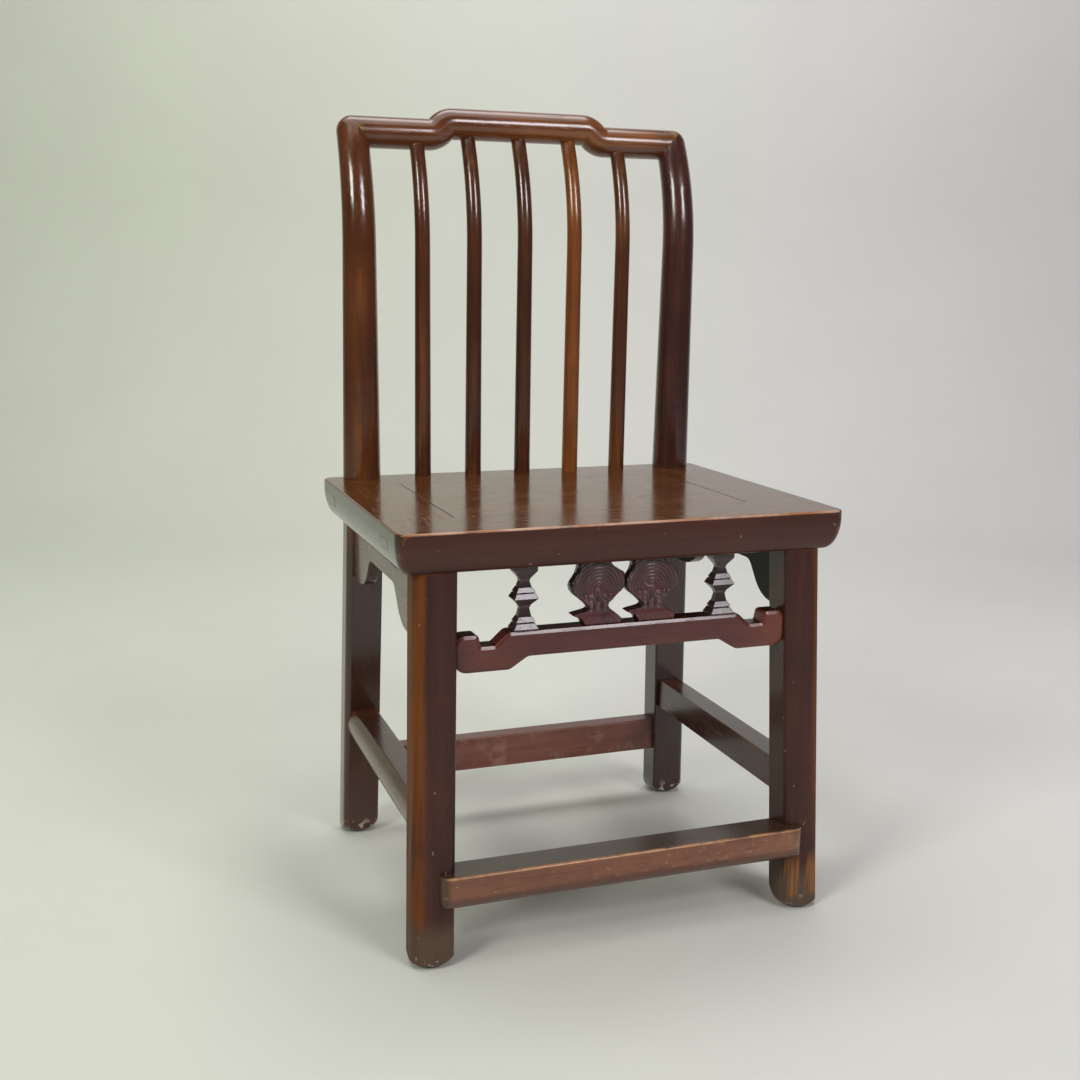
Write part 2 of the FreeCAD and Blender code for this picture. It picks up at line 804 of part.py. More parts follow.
def crest_axis_height(x):
    return crest_height + (hump_rise if abs(x) < hump_half_length else 0)


def spindle_head(x, extra=0.0):
    # The stub at the top of a spindle, in the underside of the crest rail.
    seat = crest_axis_height(x) - crest_radius
    direction = back_direction(seat)
    start = back_point(x, seat) - direction * spindle_tenon_reach
    radius = spindle_tenon_diameter / 2 + extra
    return Part.makeCylinder(radius, 2 * spindle_tenon_reach + extra, start, direction)


def make_spindle(x, crest):
    sunk = spindle_tenon_reach
    high = crest_axis_height(x) - crest_radius / 2
    rod = back_rod(x, seat_height - sunk, high, spindle_base_diameter, spindle_top_diameter)
    rod = rod.cut(slab((-half_width, half_width, -half_depth, half_depth, 0, seat_height)))
    rod = rod.cut(crest)
    return rod.fuse(spindle_foot(x)).fuse(spindle_head(x))


def make_back_leg():
    stile = back_rod(leg_top_x, underside, crest_height, stile_base_diameter, crest_diameter)
    stile = stile.fuse(Part.makeSphere(crest_radius, crest_corner))
    stile = stile.cut(half_space(crest_corner, corner_normal * -1, 3 * crest_diameter))
    stile = stile.cut(slab((0, seat_width, 0, seat_depth, 0, seat_height)))
    neck = stile_neck().common(slab((0, seat_width, 0, seat_depth, underside, seat_height + edge_round)))
    leg = back_blank.cut(foot_rounding(1)).fuse(neck).fuse(stile).fuse(corner_tenon())
    for tenon in (side_stretcher_tenons[1], apron_tongues[1], back_stretcher_tenon, back_apron_tongue):
        leg = leg.cut(slab(tenon, joint_clearance))
    return leg


def make_front_leg():
    leg = front_blank.cut(foot_rounding(-1)).fuse(leg_tenon())
    for tenon in (side_stretcher_tenons[0], apron_tongues[0], hump_tenon, foot_rest_tenon):
        leg = leg.cut(slab(tenon, joint_clearance))
    return leg


def build():
    pairs = {
        "front_leg": make_front_leg(),
        "back_leg": make_back_leg(),
        "seat_side_rail": make_side_rail(),
        "seat_batten": make_batten(),
        "side_apron": make_side_apron(),
        "baluster": make_baluster(),
        "side_stretcher": make_side_stretcher(),
    }
    nodes = {
        "seat_front_rail": make_front_rail(),
        "seat_back_rail": make_back_rail(),
        "seat_panel": make_panel(),
        "hump_stretcher": make_hump_stretcher(),
        "foot_rest": make_foot_rest(),
        "back_stretcher": make_back_stretcher(),
        "back_apron": make_back_apron(),
    }
    for name, shape in pairs.items():
        nodes[name + "_right"] = shape
        nodes[name + "_left"] = mirrored(shape)
    blossom = make_blossom()
    nodes["blossom_strut_right"] = blossom
    nodes["blossom_strut_left"] = blossom.translated(Vector(-blossom_spacing, 0, 0))
    crest = make_crest()
    for i, x in enumerate(spindle_xs):
        nodes["spindle_%d" % (i + 1)] = make_spindle(x, crest)
    for x in spindle_xs:
        crest = crest.cut(spindle_head(x, joint_clearance))
    nodes["crest_rail"] = crest
    return nodes


os.makedirs("parts", exist_ok=True)
nodes = build()
reach = Part.Compound(list(nodes.values())).optimalBoundingBox(False)
to_centre = Vector(0, -(reach.YMin + reach.YMax) / 2, 0)
for name, shape in nodes.items():
    placed = shape.removeSplitter()
    placed.translate(to_centre)
    placed.exportStep("parts/%s.step" % name)
    facts = (name, len(placed.Solids), placed.isValid(), placed.Volume)
    print("%-24s solids %d valid %s volume %.0f" % facts)
print("moved to centre by %.3f" % to_centre.y, reach)
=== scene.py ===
import bmesh
import bpy
import math
import numpy as np
from mathutils import Matrix, Vector


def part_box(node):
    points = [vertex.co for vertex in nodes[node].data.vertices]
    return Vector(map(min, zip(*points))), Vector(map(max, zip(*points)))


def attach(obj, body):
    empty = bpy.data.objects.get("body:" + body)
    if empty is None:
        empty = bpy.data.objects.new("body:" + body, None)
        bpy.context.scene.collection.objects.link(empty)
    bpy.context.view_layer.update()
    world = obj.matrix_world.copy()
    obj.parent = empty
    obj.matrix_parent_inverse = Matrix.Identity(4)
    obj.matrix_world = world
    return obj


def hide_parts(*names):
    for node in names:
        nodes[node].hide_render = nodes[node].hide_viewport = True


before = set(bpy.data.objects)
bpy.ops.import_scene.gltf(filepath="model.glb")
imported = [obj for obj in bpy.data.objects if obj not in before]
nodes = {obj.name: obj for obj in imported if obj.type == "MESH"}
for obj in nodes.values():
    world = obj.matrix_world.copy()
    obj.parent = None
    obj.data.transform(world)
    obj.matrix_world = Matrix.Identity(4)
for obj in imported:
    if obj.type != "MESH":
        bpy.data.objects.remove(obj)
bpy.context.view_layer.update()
scene = bpy.context.scene
scene.view_settings.view_transform = "Standard"
perMetre = 1000  # carved and moulded pieces are drawn in millimetres
print("frame loaded:", len(nodes), "nodes")


class Val:
    # a shader socket, or just the tree when socket is None
    def __init__(self, tree, socket=None):
        self.tree = tree
        self.socket = socket

    def add(self, kind, settings=None, inputs=None, out=0):
        node = self.tree.nodes.new("ShaderNode" + kind)
        for key, value in (settings or {}).items():
            if key == "stops":
                ramp = node.color_ramp
                while len(ramp.elements) < len(value):
                    ramp.elements.new(0.5)
                for element, (place, colour) in zip(ramp.elements, value):
                    element.position = place
                    element.color = (*colour, 1.0)
            else:
                setattr(node, key, value)
        for key, value in (inputs or {}).items():
            if isinstance(value, Val):
                self.tree.links.new(value.socket, node.inputs[key])
            else:
                node.inputs[key].default_value = value
        return Val(self.tree, node.outputs[out] if node.outputs else None)

    def maths(self, operation, first, second=0.0):
        return self.add("Math", {"operation": operation}, {0: first, 1: second})

    def __add__(self, other):
        return self.maths("ADD", self, other)

    def __radd__(self, other):
        return self.maths("ADD", other, self)

    def __sub__(self, other):
        return self.maths("SUBTRACT", self, other)

    def __rsub__(self, other):
        return self.maths("SUBTRACT", other, self)

    def __mul__(self, other):
        return self.maths("MULTIPLY", self, other)

    def __rmul__(self, other):
        return self.maths("MULTIPLY", other, self)

    def __neg__(self):
        return 0.0 - self

    def __abs__(self):
        return self.maths("ABSOLUTE", self)

    def most(self, other):
        return self.maths("MAXIMUM", self, other)

    def ease(self, low, high):  # 0 below low, 1 above high
        limits = {"Value": self, "From Min": low, "From Max": high}
        return self.add("MapRange", {"interpolation_type": "SMOOTHSTEP"}, limits)

    def fade(self, low, high):  # 1 below low, 0 above high
        return 1.0 - self.ease(low, high)

    def between(self, first, second):  # a colour mixed by this mask
        rgba = [c if isinstance(c, Val) else (*c, 1.0) for c in (first, second)]
        return self.add("Mix", {"data_type": "RGBA"}, {0: self, 6: rgba[0], 7: rgba[1]}, out=2)

    def paint(self, colour, tint, share):  # the tint laid over a colour, by this share at most
        return (self * share).between(colour, tint)

    def stretched(self, scale, shift=None):  # a vector scaled, then moved
        moved = self.add("VectorMath", {"operation": "MULTIPLY"}, {0: self, 1: scale})
        if shift is None:
            return moved
        return self.add("VectorMath", {"operation": "ADD"}, {0: moved, 1: shift})

    def noise(self, scale, detail=2.0, roughness=0.5, distortion=0.0):
        return self.add("TexNoise", {}, {"Vector": self, "Scale": scale, "Detail": detail,
                                         "Roughness": roughness, "Distortion": distortion})


def freshTree(owner):  # the emptied nodes of a material or a world
    owner.use_nodes = True
    owner.node_tree.nodes.clear()
    return Val(owner.node_tree)


def addObject(name, data):
    added = bpy.data.objects.new(name, data)
    scene.collection.objects.link(added)
    return added


# grain and wear that all finishes share: noises as scale, detail, roughness and distortion,
# levels between which a mask fades in, lengths in metres, linear colours
grainLook = {
    "stretch": {"X": (0.05, 1.0, 1.0), "Y": (1.0, 0.05, 1.0), "Z": (1.0, 1.0, 0.05)},
    "pieceShift": {"X": 3.1, "Y": 5.3, "Z": 2.3},
    "streaks": (75, 6, 0.62, 0.35), "figure": (21, 3, 0.5, 1.1), "pores": (620, 2, 0.6),
    "wash": (7, 3, 0.55), "patches": (38, 4, 0.65), "knocks": (210, 2, 0.5), "chips": (120, 3, 0.6),
    "toneStops": (0.28, 0.52, 0.76), "poreLevels": (0.60, 0.70), "poreShare": 0.55,
    "arris": 0.0045, "arrisSamples": 6, "arrisTurn": (0.004, 0.10), "arrisLevels": (0.34, 0.62),
    "arrisPatches": (1.0, 0.4, 0.4), "knockTurn": (0.004, 0.05), "knockLevels": (0.70, 0.74),
    "chipFade": 0.05, "chippedFoot": (0.004, 0.024), "bareShare": 0.8,
    "bareWood": (0.58, 0.46, 0.40), "knockedDot": (0.34, 0.25, 0.20),
    "bump": 0.22, "bumpDepth": 0.0008, "coatRoughness": 0.12, "leastRoughness": 0.08, "ior": 1.5,
}
# what each noise adds to the tone and the roughness, and adds to or takes from the bump
toneMix = {"streak": 0.55, "figure": 0.35, "wash": 0.35, "drop": 0.12, "chance": 0.10}
roughMix = {"streak": 0.16, "wash": 0.18, "pores": 0.10, "bare": 0.35, "dull": 0.2}
bumpMix = {"streak": 0.25, "pores": 0.5, "patchy": 0.2, "bare": 0.8}
plainWood = {"shine": 0.5, "chips": 0.6}  # chips is the noise level above which the foot is bare

# Each finish has its own dictionary of wood, and marks that belong to its kind of piece.
# A marks function takes the shared sockets and the colour so far, and gives the colour back.
# A tint with a number after it covers by that share at most.

# the seat's outline, its panel's end joints and the tenon ends, in metres
frontRail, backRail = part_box("seat_front_rail"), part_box("seat_back_rail")
panelGap = 0.0006  # between the panel and a side rail
seatRim = {
    "halfX": frontRail[1].x, "front": frontRail[0].y, "top": frontRail[1].z,
    "middleY": (frontRail[0].y + backRail[1].y) / 2, "halfY": (backRail[1].y - frontRail[0].y) / 2,
    "panelX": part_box("seat_side_rail_right")[0].x - panelGap / 2, "panelY": 0.1175,
    "tenonY": 0.138, "tenonZ": 0.441, "tenonHalfY": 0.015, "tenonHalfZ": 0.0055, "tenonFrom": 0.236,
    # fades of the marks
    "arrisBelow": (-0.0030, -0.0010), "arrisWithin": (-0.0032, -0.0010), "aheadTo": (0.003, 0.012),
    "cornerReach": (-0.014, -0.008), "cornerHeight": (0.430, 0.440), "blur": 0.001,
    "panelLine": (0.0005, 0.0013), "uprightLine": (0.0007, 0.0022), "levelLine": (0.0002, 0.0009),
    "openBelow": (-0.0045, -0.0030), "openTo": (0.0, 0.009), "tenonFade": (0.0, 0.004),
}
seatWood = {
    **plainWood,
    "dark": (0.034, 0.0095, 0.0045), "mid": (0.064, 0.0150, 0.0080), "light": (0.110, 0.030, 0.012),
    "worn": (0.36, 0.135, 0.045), "wear": 0.0, "gloss": 0.17, "coat": 0.05, "shine": 0.42,
    "side": ((0.022, 0.0140, 0.0070), 0.85), "sideGleam": 0.3,
    "topDark": (0.080, 0.0270, 0.0065), "topLight": (0.135, 0.052, 0.0115), "topShare": 0.7,
    "wornAhead": 0.75, "wornAll": 0.2, "paleArris": ((0.52, 0.33, 0.24), 0.75), "paleShift": (3.1, 0.0, 0.0),
    "bareCorner": ((0.26, 0.080, 0.018), 0.7), "dotShare": 0.4,
    "dirt": (0.012, 0.006, 0.004), "dirtShare": 0.9, "dullFront": 0.7,
}


def seatMarks(on, colour, look):
    across, deep = abs(on["x"]), abs(on["y"] - seatRim["middleY"])
    # painted shade: faces turned to the sides are painted a dark olive, with more coat on them
    sideways = abs(on["faceX"]).ease(0.6, 0.9)
    colour = sideways.paint(colour, *look["side"])
    on["gleam"] = sideways * look["sideGleam"]
    # painted sheen: faces turned up are painted lighter and warmer, in streaks
    up = on["faceZ"].ease(0.7, 0.95)
    top = on["streak"].ease(0.35, 0.70).between(look["topDark"], look["topLight"])
    colour = up.paint(colour, top, look["topShare"])
    # top arris rubbed pale along the front and brown along the sides, the pale line partly wear and partly a
    # painted highlight, and bare spots at the corners
    edgeX, edgeY = across - seatRim["halfX"], deep - seatRim["halfY"]
    arris = (on["z"] - seatRim["top"]).ease(*seatRim["arrisBelow"])
    arris = arris * edgeX.most(edgeY).ease(*seatRim["arrisWithin"])
    ahead = (on["y"] - seatRim["front"]).fade(*seatRim["aheadTo"])
    patches = on["place"].stretched(grainLook["arrisPatches"]).noise(24, 4, 0.6)
    rubbed = arris * (ahead * look["wornAhead"] + look["wornAll"]) * patches.ease(0.30, 0.52)
    colour = rubbed.between(colour, look["worn"])
    pale = on["place"].stretched(grainLook["arrisPatches"], look["paleShift"]).noise(17, 4, 0.6)
    colour = (arris * ahead * pale.ease(0.43, 0.60)).paint(colour, *look["paleArris"])
    corner = edgeX.ease(*seatRim["cornerReach"]) * edgeY.ease(*seatRim["cornerReach"])
    corner = corner * on["z"].ease(*seatRim["cornerHeight"])
    spots = on["place"].noise(60, 3, 0.6).ease(0.48, 0.62)
    colour = (corner * spots).paint(colour, *look["bareCorner"])
    dots = on["place"].noise(150, 1, 0.4).ease(0.755, 0.78) * (-on["faceY"]).ease(0.5, 0.8)
    colour = dots.paint(colour, grainLook["knockedDot"], look["dotShare"])
    # dirt in the panel's end joints and round the tenons that show on the sides
    blur, panelY, halfY, halfZ = (seatRim[k] for k in ("blur", "panelY", "tenonHalfY", "tenonHalfZ"))
    endJoint = abs(across - seatRim["panelX"]).fade(*seatRim["panelLine"])
    endJoint = endJoint * abs(on["y"]).fade(panelY, panelY + blur)
    along, over = deep - seatRim["tenonY"], on["z"] - seatRim["tenonZ"]
    upright = abs(along + halfY).fade(*seatRim["uprightLine"]) * abs(over).fade(halfZ, halfZ + blur)
    level = abs(abs(over) - halfZ).fade(*seatRim["levelLine"]) * abs(along).fade(halfY, halfY + blur)
    openEnd = over.fade(*seatRim["openBelow"]) * along.fade(*seatRim["openTo"])
    level = level * openEnd.most(on["patchy"].ease(0.52, 0.62))
    tenonLine = upright.most(level) * (across - seatRim["tenonFrom"]).ease(*seatRim["tenonFade"])
    joint = (endJoint * up).most(tenonLine) * look["dirtShare"]
    on["dull"] = joint.most((-on["faceY"]).ease(0.4, 0.8) * look["dullFront"])
    return joint.between(colour, look["dirt"])


def outwards(on):  # 1 on faces turned to the left or right away from the middle, -1 on those turned to it
    return on["faceX"] * on["x"].maths("SIGN", on["x"])


legWood = {
    **plainWood,
    "dark": (0.022, 0.0076, 0.0060), "mid": (0.049, 0.0150, 0.0115), "light": (0.088, 0.027, 0.0180),
    "worn": (0.175, 0.052, 0.0065), "wear": 0.45, "gloss": 0.36, "coat": 0.3, "shine": 0.15, "chips": 0.62,
    "washShare": 0.45, "streakShare": 0.75, "darkFoot": (0.036, 0.056), "footShare": 0.15,
    "inside": ((0.044, 0.0225, 0.0060), 0.45),
    "grime": ((0.118, 0.080, 0.052), 0.65), "grimeTop": (0.030, 0.060),
    "bare": ((0.29, 0.110, 0.024), 0.8), "bareFrom": (0.012, 0.022), "bareTo": (0.045, 0.075),
    "moreOnRight": 0.05, "dotShare": 0.5,
}


def legMarks(on, colour, look):
    # outer side worn to the orange wood in streaks, partly wear and partly a painted reflection of the side
    # light, dark again at the foot
    outward = outwards(on)
    rubbed = outward.ease(-0.05, 0.70)
    on["dull"] = rubbed
    streaks = (on["wash"] * look["washShare"] + on["streak"] * look["streakShare"]).ease(0.36, 0.74)
    height = on["z"].ease(*look["darkFoot"]) * (1 - look["footShare"]) + look["footShare"]
    colour = (rubbed * streaks * height).between(colour, look["worn"])
    # painted shade on the faces turned to the middle
    colour = (-outward).ease(0.5, 0.9).paint(colour, *look["inside"])
    # paler and greyer towards the floor
    colour = on["z"].fade(*look["grimeTop"]).paint(colour, *look["grime"])
    # bare patches low down, more of them on the right leg, and dots knocked out of the polish
    low = on["z"].ease(*look["bareFrom"]) * on["z"].fade(*look["bareTo"])
    bare = on["along"].noise(46, 3, 0.6) + on["x"].ease(-0.05, 0.05) * look["moreOnRight"]
    colour = (low * bare.ease(0.56, 0.66)).paint(colour, *look["bare"])
    dots = on["place"].noise(165, 1, 0.4).ease(0.765, 0.79)
    return dots.paint(colour, grainLook["knockedDot"], look["dotShare"])


footRestWood = {
    **plainWood,
    "dark": (0.110, 0.037, 0.0200), "mid": (0.215, 0.080, 0.042), "light": (0.32, 0.130, 0.066),
    "worn": (0.50, 0.24, 0.105), "wear": 0.5, "gloss": 0.30, "coat": 0.2,
    "blotchShare": 0.5, "scuff": ((0.44, 0.24, 0.17), 0.45), "top": ((0.030, 0.0155, 0.0085), 0.92),
    "under": ((0.085, 0.034, 0.026), 0.75), "underRise": (0.009, 0.021),
    "leftEnd": ((0.042, 0.022, 0.010), 0.85),
    "arrisBelow": (-0.0026, -0.0012), "arrisWithin": (0.0016, 0.0036), "arrisShare": 0.85,
    "turnRise": 0.0165, "turnHalf": 0.0028, "turnShare": 0.6,
}


def footRestMarks(on, colour, look):
    low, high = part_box("foot_rest")
    up = on["faceZ"].ease(0.6, 0.95)
    blotch = on["place"].stretched((0.5, 1.0, 1.0)).noise(85, 5, 0.7)
    colour = blotch.ease(0.50, 0.66).paint(colour, look["dark"], look["blotchShare"])
    colour = on["place"].noise(150, 3, 0.7).ease(0.60, 0.72).paint(colour, *look["scuff"])
    # painted shade: faces turned up are painted a dark olive
    colour = up.paint(colour, *look["top"])
    # painted shade: darker low down, where the front turns under
    colour = (on["z"] - low.z).fade(*look["underRise"]).paint(colour, *look["under"])
    # painted shade on the faces turned to the left
    colour = (-on["faceX"]).ease(0.15, 0.60).paint(colour, *look["leftEnd"])
    # worn along the top arris and where the front turns under
    patches = on["place"].stretched(grainLook["arrisPatches"]).noise(26, 5, 0.65)
    arris = (on["z"] - high.z).ease(*look["arrisBelow"]) * (on["y"] - low.y).fade(*look["arrisWithin"])
    colour = (arris * patches.ease(0.32, 0.56)).paint(colour, look["worn"], look["arrisShare"])
    turn = abs(on["z"] - low.z - look["turnRise"]).fade(0.0, look["turnHalf"]) * (1.0 - up)
    turn = turn * blotch.ease(0.44, 0.60) * patches.ease(0.46, 0.64)
    return turn.paint(colour, look["worn"], look["turnShare"])


sideWood = {
    **plainWood,
    "dark": (0.022, 0.0090, 0.0055), "mid": (0.052, 0.0180, 0.0085), "light": (0.100, 0.037, 0.014),
    "worn": (0.26, 0.105, 0.022), "wear": 0.8, "gloss": 0.26, "coat": 0.3,
    "faded": ((0.110, 0.060, 0.020), 0.6), "redEnd": ((0.120, 0.034, 0.014), 0.6), "ends": (0.09, 0.15),
}
apronWood = {
    **sideWood, "worn": (0.17, 0.070, 0.020), "wear": 0.35, "inside": ((0.0085, 0.0090, 0.0040), 0.9),
}
farApronWood = {**apronWood, "coat": 0.45, "shine": 0.15}


def stretcherMarks(on, colour, look):
    # outer faces painted olive, a painted reflection of the side light; the ends by the legs redder
    faded = outwards(on).ease(0.3, 0.8) * on["wash"].ease(0.30, 0.65)
    colour = faded.paint(colour, *look["faded"])
    ends = abs(on["y"]).ease(*look["ends"]) * on["wash"].ease(0.35, 0.6)
    return ends.paint(colour, *look["redEnd"])


def apronMarks(on, colour, look):
    # painted shade on the faces turned to the middle, which are also duller
    inward = (-outwards(on)).ease(0.5, 0.9)
    on["dull"] = inward
    return inward.paint(stretcherMarks(on, colour, look), *look["inside"])


lowBackWood = {
    **plainWood,
    "dark": (0.120, 0.036, 0.0260), "mid": (0.215, 0.074, 0.053), "light": (0.33, 0.140, 0.105),
    "worn": (0.40, 0.19, 0.125), "wear": 0.6, "gloss": 0.36, "coat": 0.1,
    "bloom": ((0.42, 0.24, 0.20), 0.45), "topShare": 0.8,
}


def lowBackMarks(on, colour, look):
    blotch = on["place"].noise(32, 5, 0.7).ease(0.50, 0.68)
    colour = blotch.paint(colour, *look["bloom"])
    # painted shade: faces turned up are painted dark
    return on["faceZ"].ease(0.6, 0.95).paint(colour, look["dark"], look["topShare"])


frameWood = {
    **plainWood,
    "dark": (0.034, 0.0085, 0.0080), "mid": (0.082, 0.0165, 0.0140), "light": (0.128, 0.030, 0.021),
    "worn": (0.27, 0.092, 0.036), "wear": 0.7, "gloss": 0.29, "coat": 0.2,
    "redEnd": ((0.170, 0.038, 0.018), 0.6), "ends": (0.105, 0.175), "top": ((0.014, 0.0060, 0.0050), 0.85),
}


def humpMarks(on, colour, look):
    ends = abs(on["x"]).ease(*look["ends"]) * on["wash"].ease(0.30, 0.60)
    colour = ends.paint(colour, *look["redEnd"])
    # painted shade: faces turned up are painted dark
    return on["faceZ"].ease(0.75, 0.95).paint(colour, *look["top"])


rodWood = {
    **plainWood,
    "dark": (0.030, 0.0085, 0.0035), "mid": (0.078, 0.0210, 0.0065), "light": (0.155, 0.046, 0.0110),
    "worn": (0.30, 0.100, 0.020), "wear": 0.4, "gloss": 0.2, "coat": 0.4,
    "washShare": 0.55, "streakShare": 0.65,
    "underSeat": ((0.034, 0.0140, 0.0100), 0.7), "underHeight": (0.36, 0.43),
}
paleRodWood = {
    **rodWood,
    "dark": (0.095, 0.026, 0.0055), "mid": (0.225, 0.066, 0.0105), "light": (0.34, 0.112, 0.019),
    "worn": (0.40, 0.15, 0.035), "gloss": 0.22, "coat": 0.35,
}
stileWarmWood = {
    **rodWood,
    "dark": (0.042, 0.0105, 0.0030), "mid": (0.104, 0.0280, 0.0055), "light": (0.185, 0.056, 0.0105),
    "worn": (0.32, 0.105, 0.018), "chips": 0.545,
}
stileCoolWood = {
    **rodWood,
    "dark": (0.022, 0.0070, 0.0050), "mid": (0.052, 0.0140, 0.0095), "light": (0.100, 0.028, 0.0160),
    "worn": (0.12, 0.036, 0.020), "wear": 0.3, "chips": 0.545,
}
crestWood = {
    **rodWood,
    "dark": (0.050, 0.0140, 0.0050), "mid": (0.130, 0.0380, 0.0095), "light": (0.230, 0.072, 0.0150),
    "worn": (0.36, 0.13, 0.024), "wear": 0.5,
    "darkEnd": ((0.056, 0.0175, 0.0075), 0.6), "ends": (0.165, 0.205),
    "rubbedMitre": ((0.26, 0.17, 0.045), 0.6), "mitre": (0.188, 0.204),
}


def rodMarks(on, colour, look):
    rub = (on["wash"] * look["washShare"] + on["streak"] * look["streakShare"]).ease(0.62, 0.86)
    colour = rub.paint(colour, look["worn"], look["wear"])
    # painted shade: the back legs are painted darker under the seat
    below = on["z"].fade(*look["underHeight"])  # the back legs are duller under the seat
    return below.paint(colour, *look["underSeat"])


def crestMarks(on, colour, look):
    colour = rodMarks(on, colour, look)
    colour = abs(on["x"]).ease(*look["ends"]).paint(colour, *look["darkEnd"])
    # olive spots over the mitres, at the two corners
    corner = abs(on["x"]).ease(*look["mitre"]) * on["place"].noise(52, 3, 0.6).ease(0.54, 0.66)
    return corner.paint(colour, *look["rubbedMitre"])


carvedWood = {**plainWood, "hollowShare": 0.85, "proudShare": 0.55}
blossomWood = {
    **carvedWood,
    "dark": (0.018, 0.0055, 0.0070), "mid": (0.056, 0.0150, 0.0190), "light": (0.105, 0.030, 0.034),
    "worn": (0.22, 0.105, 0.105), "wear": 0.35, "gloss": 0.30, "coat": 0.3,
    "blush": ((0.096, 0.0150, 0.0160), 0.75),
}
balusterWood = {
    **carvedWood,
    "dark": (0.010, 0.0060, 0.0065), "mid": (0.026, 0.0120, 0.0130), "light": (0.056, 0.025, 0.026),
    "worn": (0.20, 0.13, 0.13), "wear": 0.3, "gloss": 0.28, "coat": 0.25, "shine": 0.55,
}


def carvedMarks(on, colour, look):  # dark in the hollows, worn on what stands proud
    relief = on["tree"].add("Attribute", {"attribute_name": "relief"}, out="Fac")
    # painted shade in the hollows and grooves
    colour = (-relief).ease(0.1, 1.1).paint(colour, look["dark"], look["hollowShare"])
    # what stands proud is painted lighter, partly wear and partly a painted highlight
    proud = relief.ease(0.45, 1.6) * on["patchy"].ease(0.30, 0.60)
    return proud.paint(colour, look["worn"], look["proudShare"])


def blossomMarks(on, colour, look):
    blush = on["tree"].add("Attribute", {"attribute_name": "blush"}, out="Fac")
    colour = (blush * on["patchy"].ease(0.36, 0.58)).paint(colour, *look["blush"])
    return carvedMarks(on, colour, look)


woodLooks = {
    "seat": (seatWood, seatMarks), "leg": (legWood, legMarks), "footRest": (footRestWood, footRestMarks),
    "side": (sideWood, stretcherMarks), "apron": (apronWood, apronMarks),
    "farApron": (farApronWood, apronMarks),
    "lowBack": (lowBackWood, lowBackMarks), "frame": (frameWood, humpMarks), "rod": (rodWood, rodMarks),
    "paleRod": (paleRodWood, rodMarks), "stileWarm": (stileWarmWood, rodMarks),
    "stileCool": (stileCoolWood, rodMarks), "crest": (crestWood, crestMarks),
    "blossom": (blossomWood, blossomMarks), "baluster": (balusterWood, carvedMarks),
}
woodMade = {}


def woodFinish(lookName, grain):
    key = "wood_%s_%s" % (lookName, grain)
    if key in woodMade:
        return woodMade[key]
    look, addMarks = woodLooks[lookName]
    material = bpy.data.materials.new(key)
    tree = freshTree(material)
    place = tree.add("TexCoord", out="Object")
    normal = tree.add("NewGeometry", out="Normal")
    chance = tree.add("ObjectInfo", out="Random")
    shift = tree.add("CombineXYZ", {}, {axis: chance * far for axis, far in grainLook["pieceShift"].items()})
    along = place.stretched(grainLook["stretch"][grain], shift)
    loose = place.stretched((1, 1, 1), shift)
    streak = along.noise(*grainLook["streaks"])
    figure = along.noise(*grainLook["figure"])
    pores = along.noise(*grainLook["pores"]).ease(*grainLook["poreLevels"])
    wash = loose.noise(*grainLook["wash"])
    patchy = loose.noise(*grainLook["patches"])
    shade = streak * toneMix["streak"] + figure * toneMix["figure"] + wash * toneMix["wash"]
    shade = shade - toneMix["drop"] + (chance - 0.5) * toneMix["chance"]
    stops = list(zip(grainLook["toneStops"], (look["dark"], look["mid"], look["light"])))
    colour = tree.add("ValToRGB", {"stops": stops}, {0: shade})
    colour = pores.paint(colour, look["dark"], grainLook["poreShare"])
    # arrises rubbed back to the orange wood
    soft = tree.add("Bevel", {"samples": grainLook["arrisSamples"]}, {"Radius": grainLook["arris"]})
    turned = 1.0 - tree.add("VectorMath", {"operation": "DOT_PRODUCT"}, {0: normal, 1: soft}, out="Value")
    edge = turned.ease(*grainLook["arrisTurn"]) * patchy.ease(*grainLook["arrisLevels"])
    colour = edge.paint(colour, look["worn"], look["wear"])
    on = {"tree": tree, "place": place, "along": along, "streak": streak, "wash": wash, "patchy": patchy,
          "dull": 0.0, "gleam": 0.0}
    for axis in "XYZ":
        on[axis.lower()] = tree.add("SeparateXYZ", {}, {0: place}, out=axis)
        on["face" + axis] = tree.add("SeparateXYZ", {}, {0: normal}, out=axis)
    colour = addMarks(on, colour, look)
    # small pale knocks on the edges, and bare chips round the feet
    knocks = place.noise(*grainLook["knocks"]).ease(*grainLook["knockLevels"])
    knocks = knocks * turned.ease(*grainLook["knockTurn"])
    chips = loose.noise(*grainLook["chips"]).ease(look["chips"], look["chips"] + grainLook["chipFade"])
    bare = knocks.most(chips * on["z"].fade(*grainLook["chippedFoot"])) * grainLook["bareShare"]
    colour = bare.between(colour, grainLook["bareWood"])
    rough = look["gloss"] + (streak - 0.5) * roughMix["streak"] + (wash - 0.5) * roughMix["wash"]
    rough = rough + pores * roughMix["pores"] + bare * roughMix["bare"] + on["dull"] * roughMix["dull"]
    heights = streak * bumpMix["streak"] - pores * bumpMix["pores"]
    heights = heights + patchy * bumpMix["patchy"] - bare * bumpMix["bare"]
    bump = tree.add("Bump", {}, {"Strength": grainLook["bump"], "Distance": grainLook["bumpDepth"],
                                 "Height": heights})
    shader = tree.add("BsdfPrincipled", {}, {
        "Base Color": colour, "Roughness": rough.most(grainLook["leastRoughness"]), "Normal": bump,
        "IOR": grainLook["ior"], "Specular IOR Level": look["shine"],
        "Coat Weight": look["coat"] * (1.0 - on["dull"]) + on["gleam"],
        "Coat Roughness": grainLook["coatRoughness"]})
    tree.add("OutputMaterial", {}, {"Surface": shader})
    woodMade[key] = material
    return material


def dress(piece, lookName, grain):
    piece.data.materials.clear()
    piece.data.materials.append(woodFinish(lookName, grain))


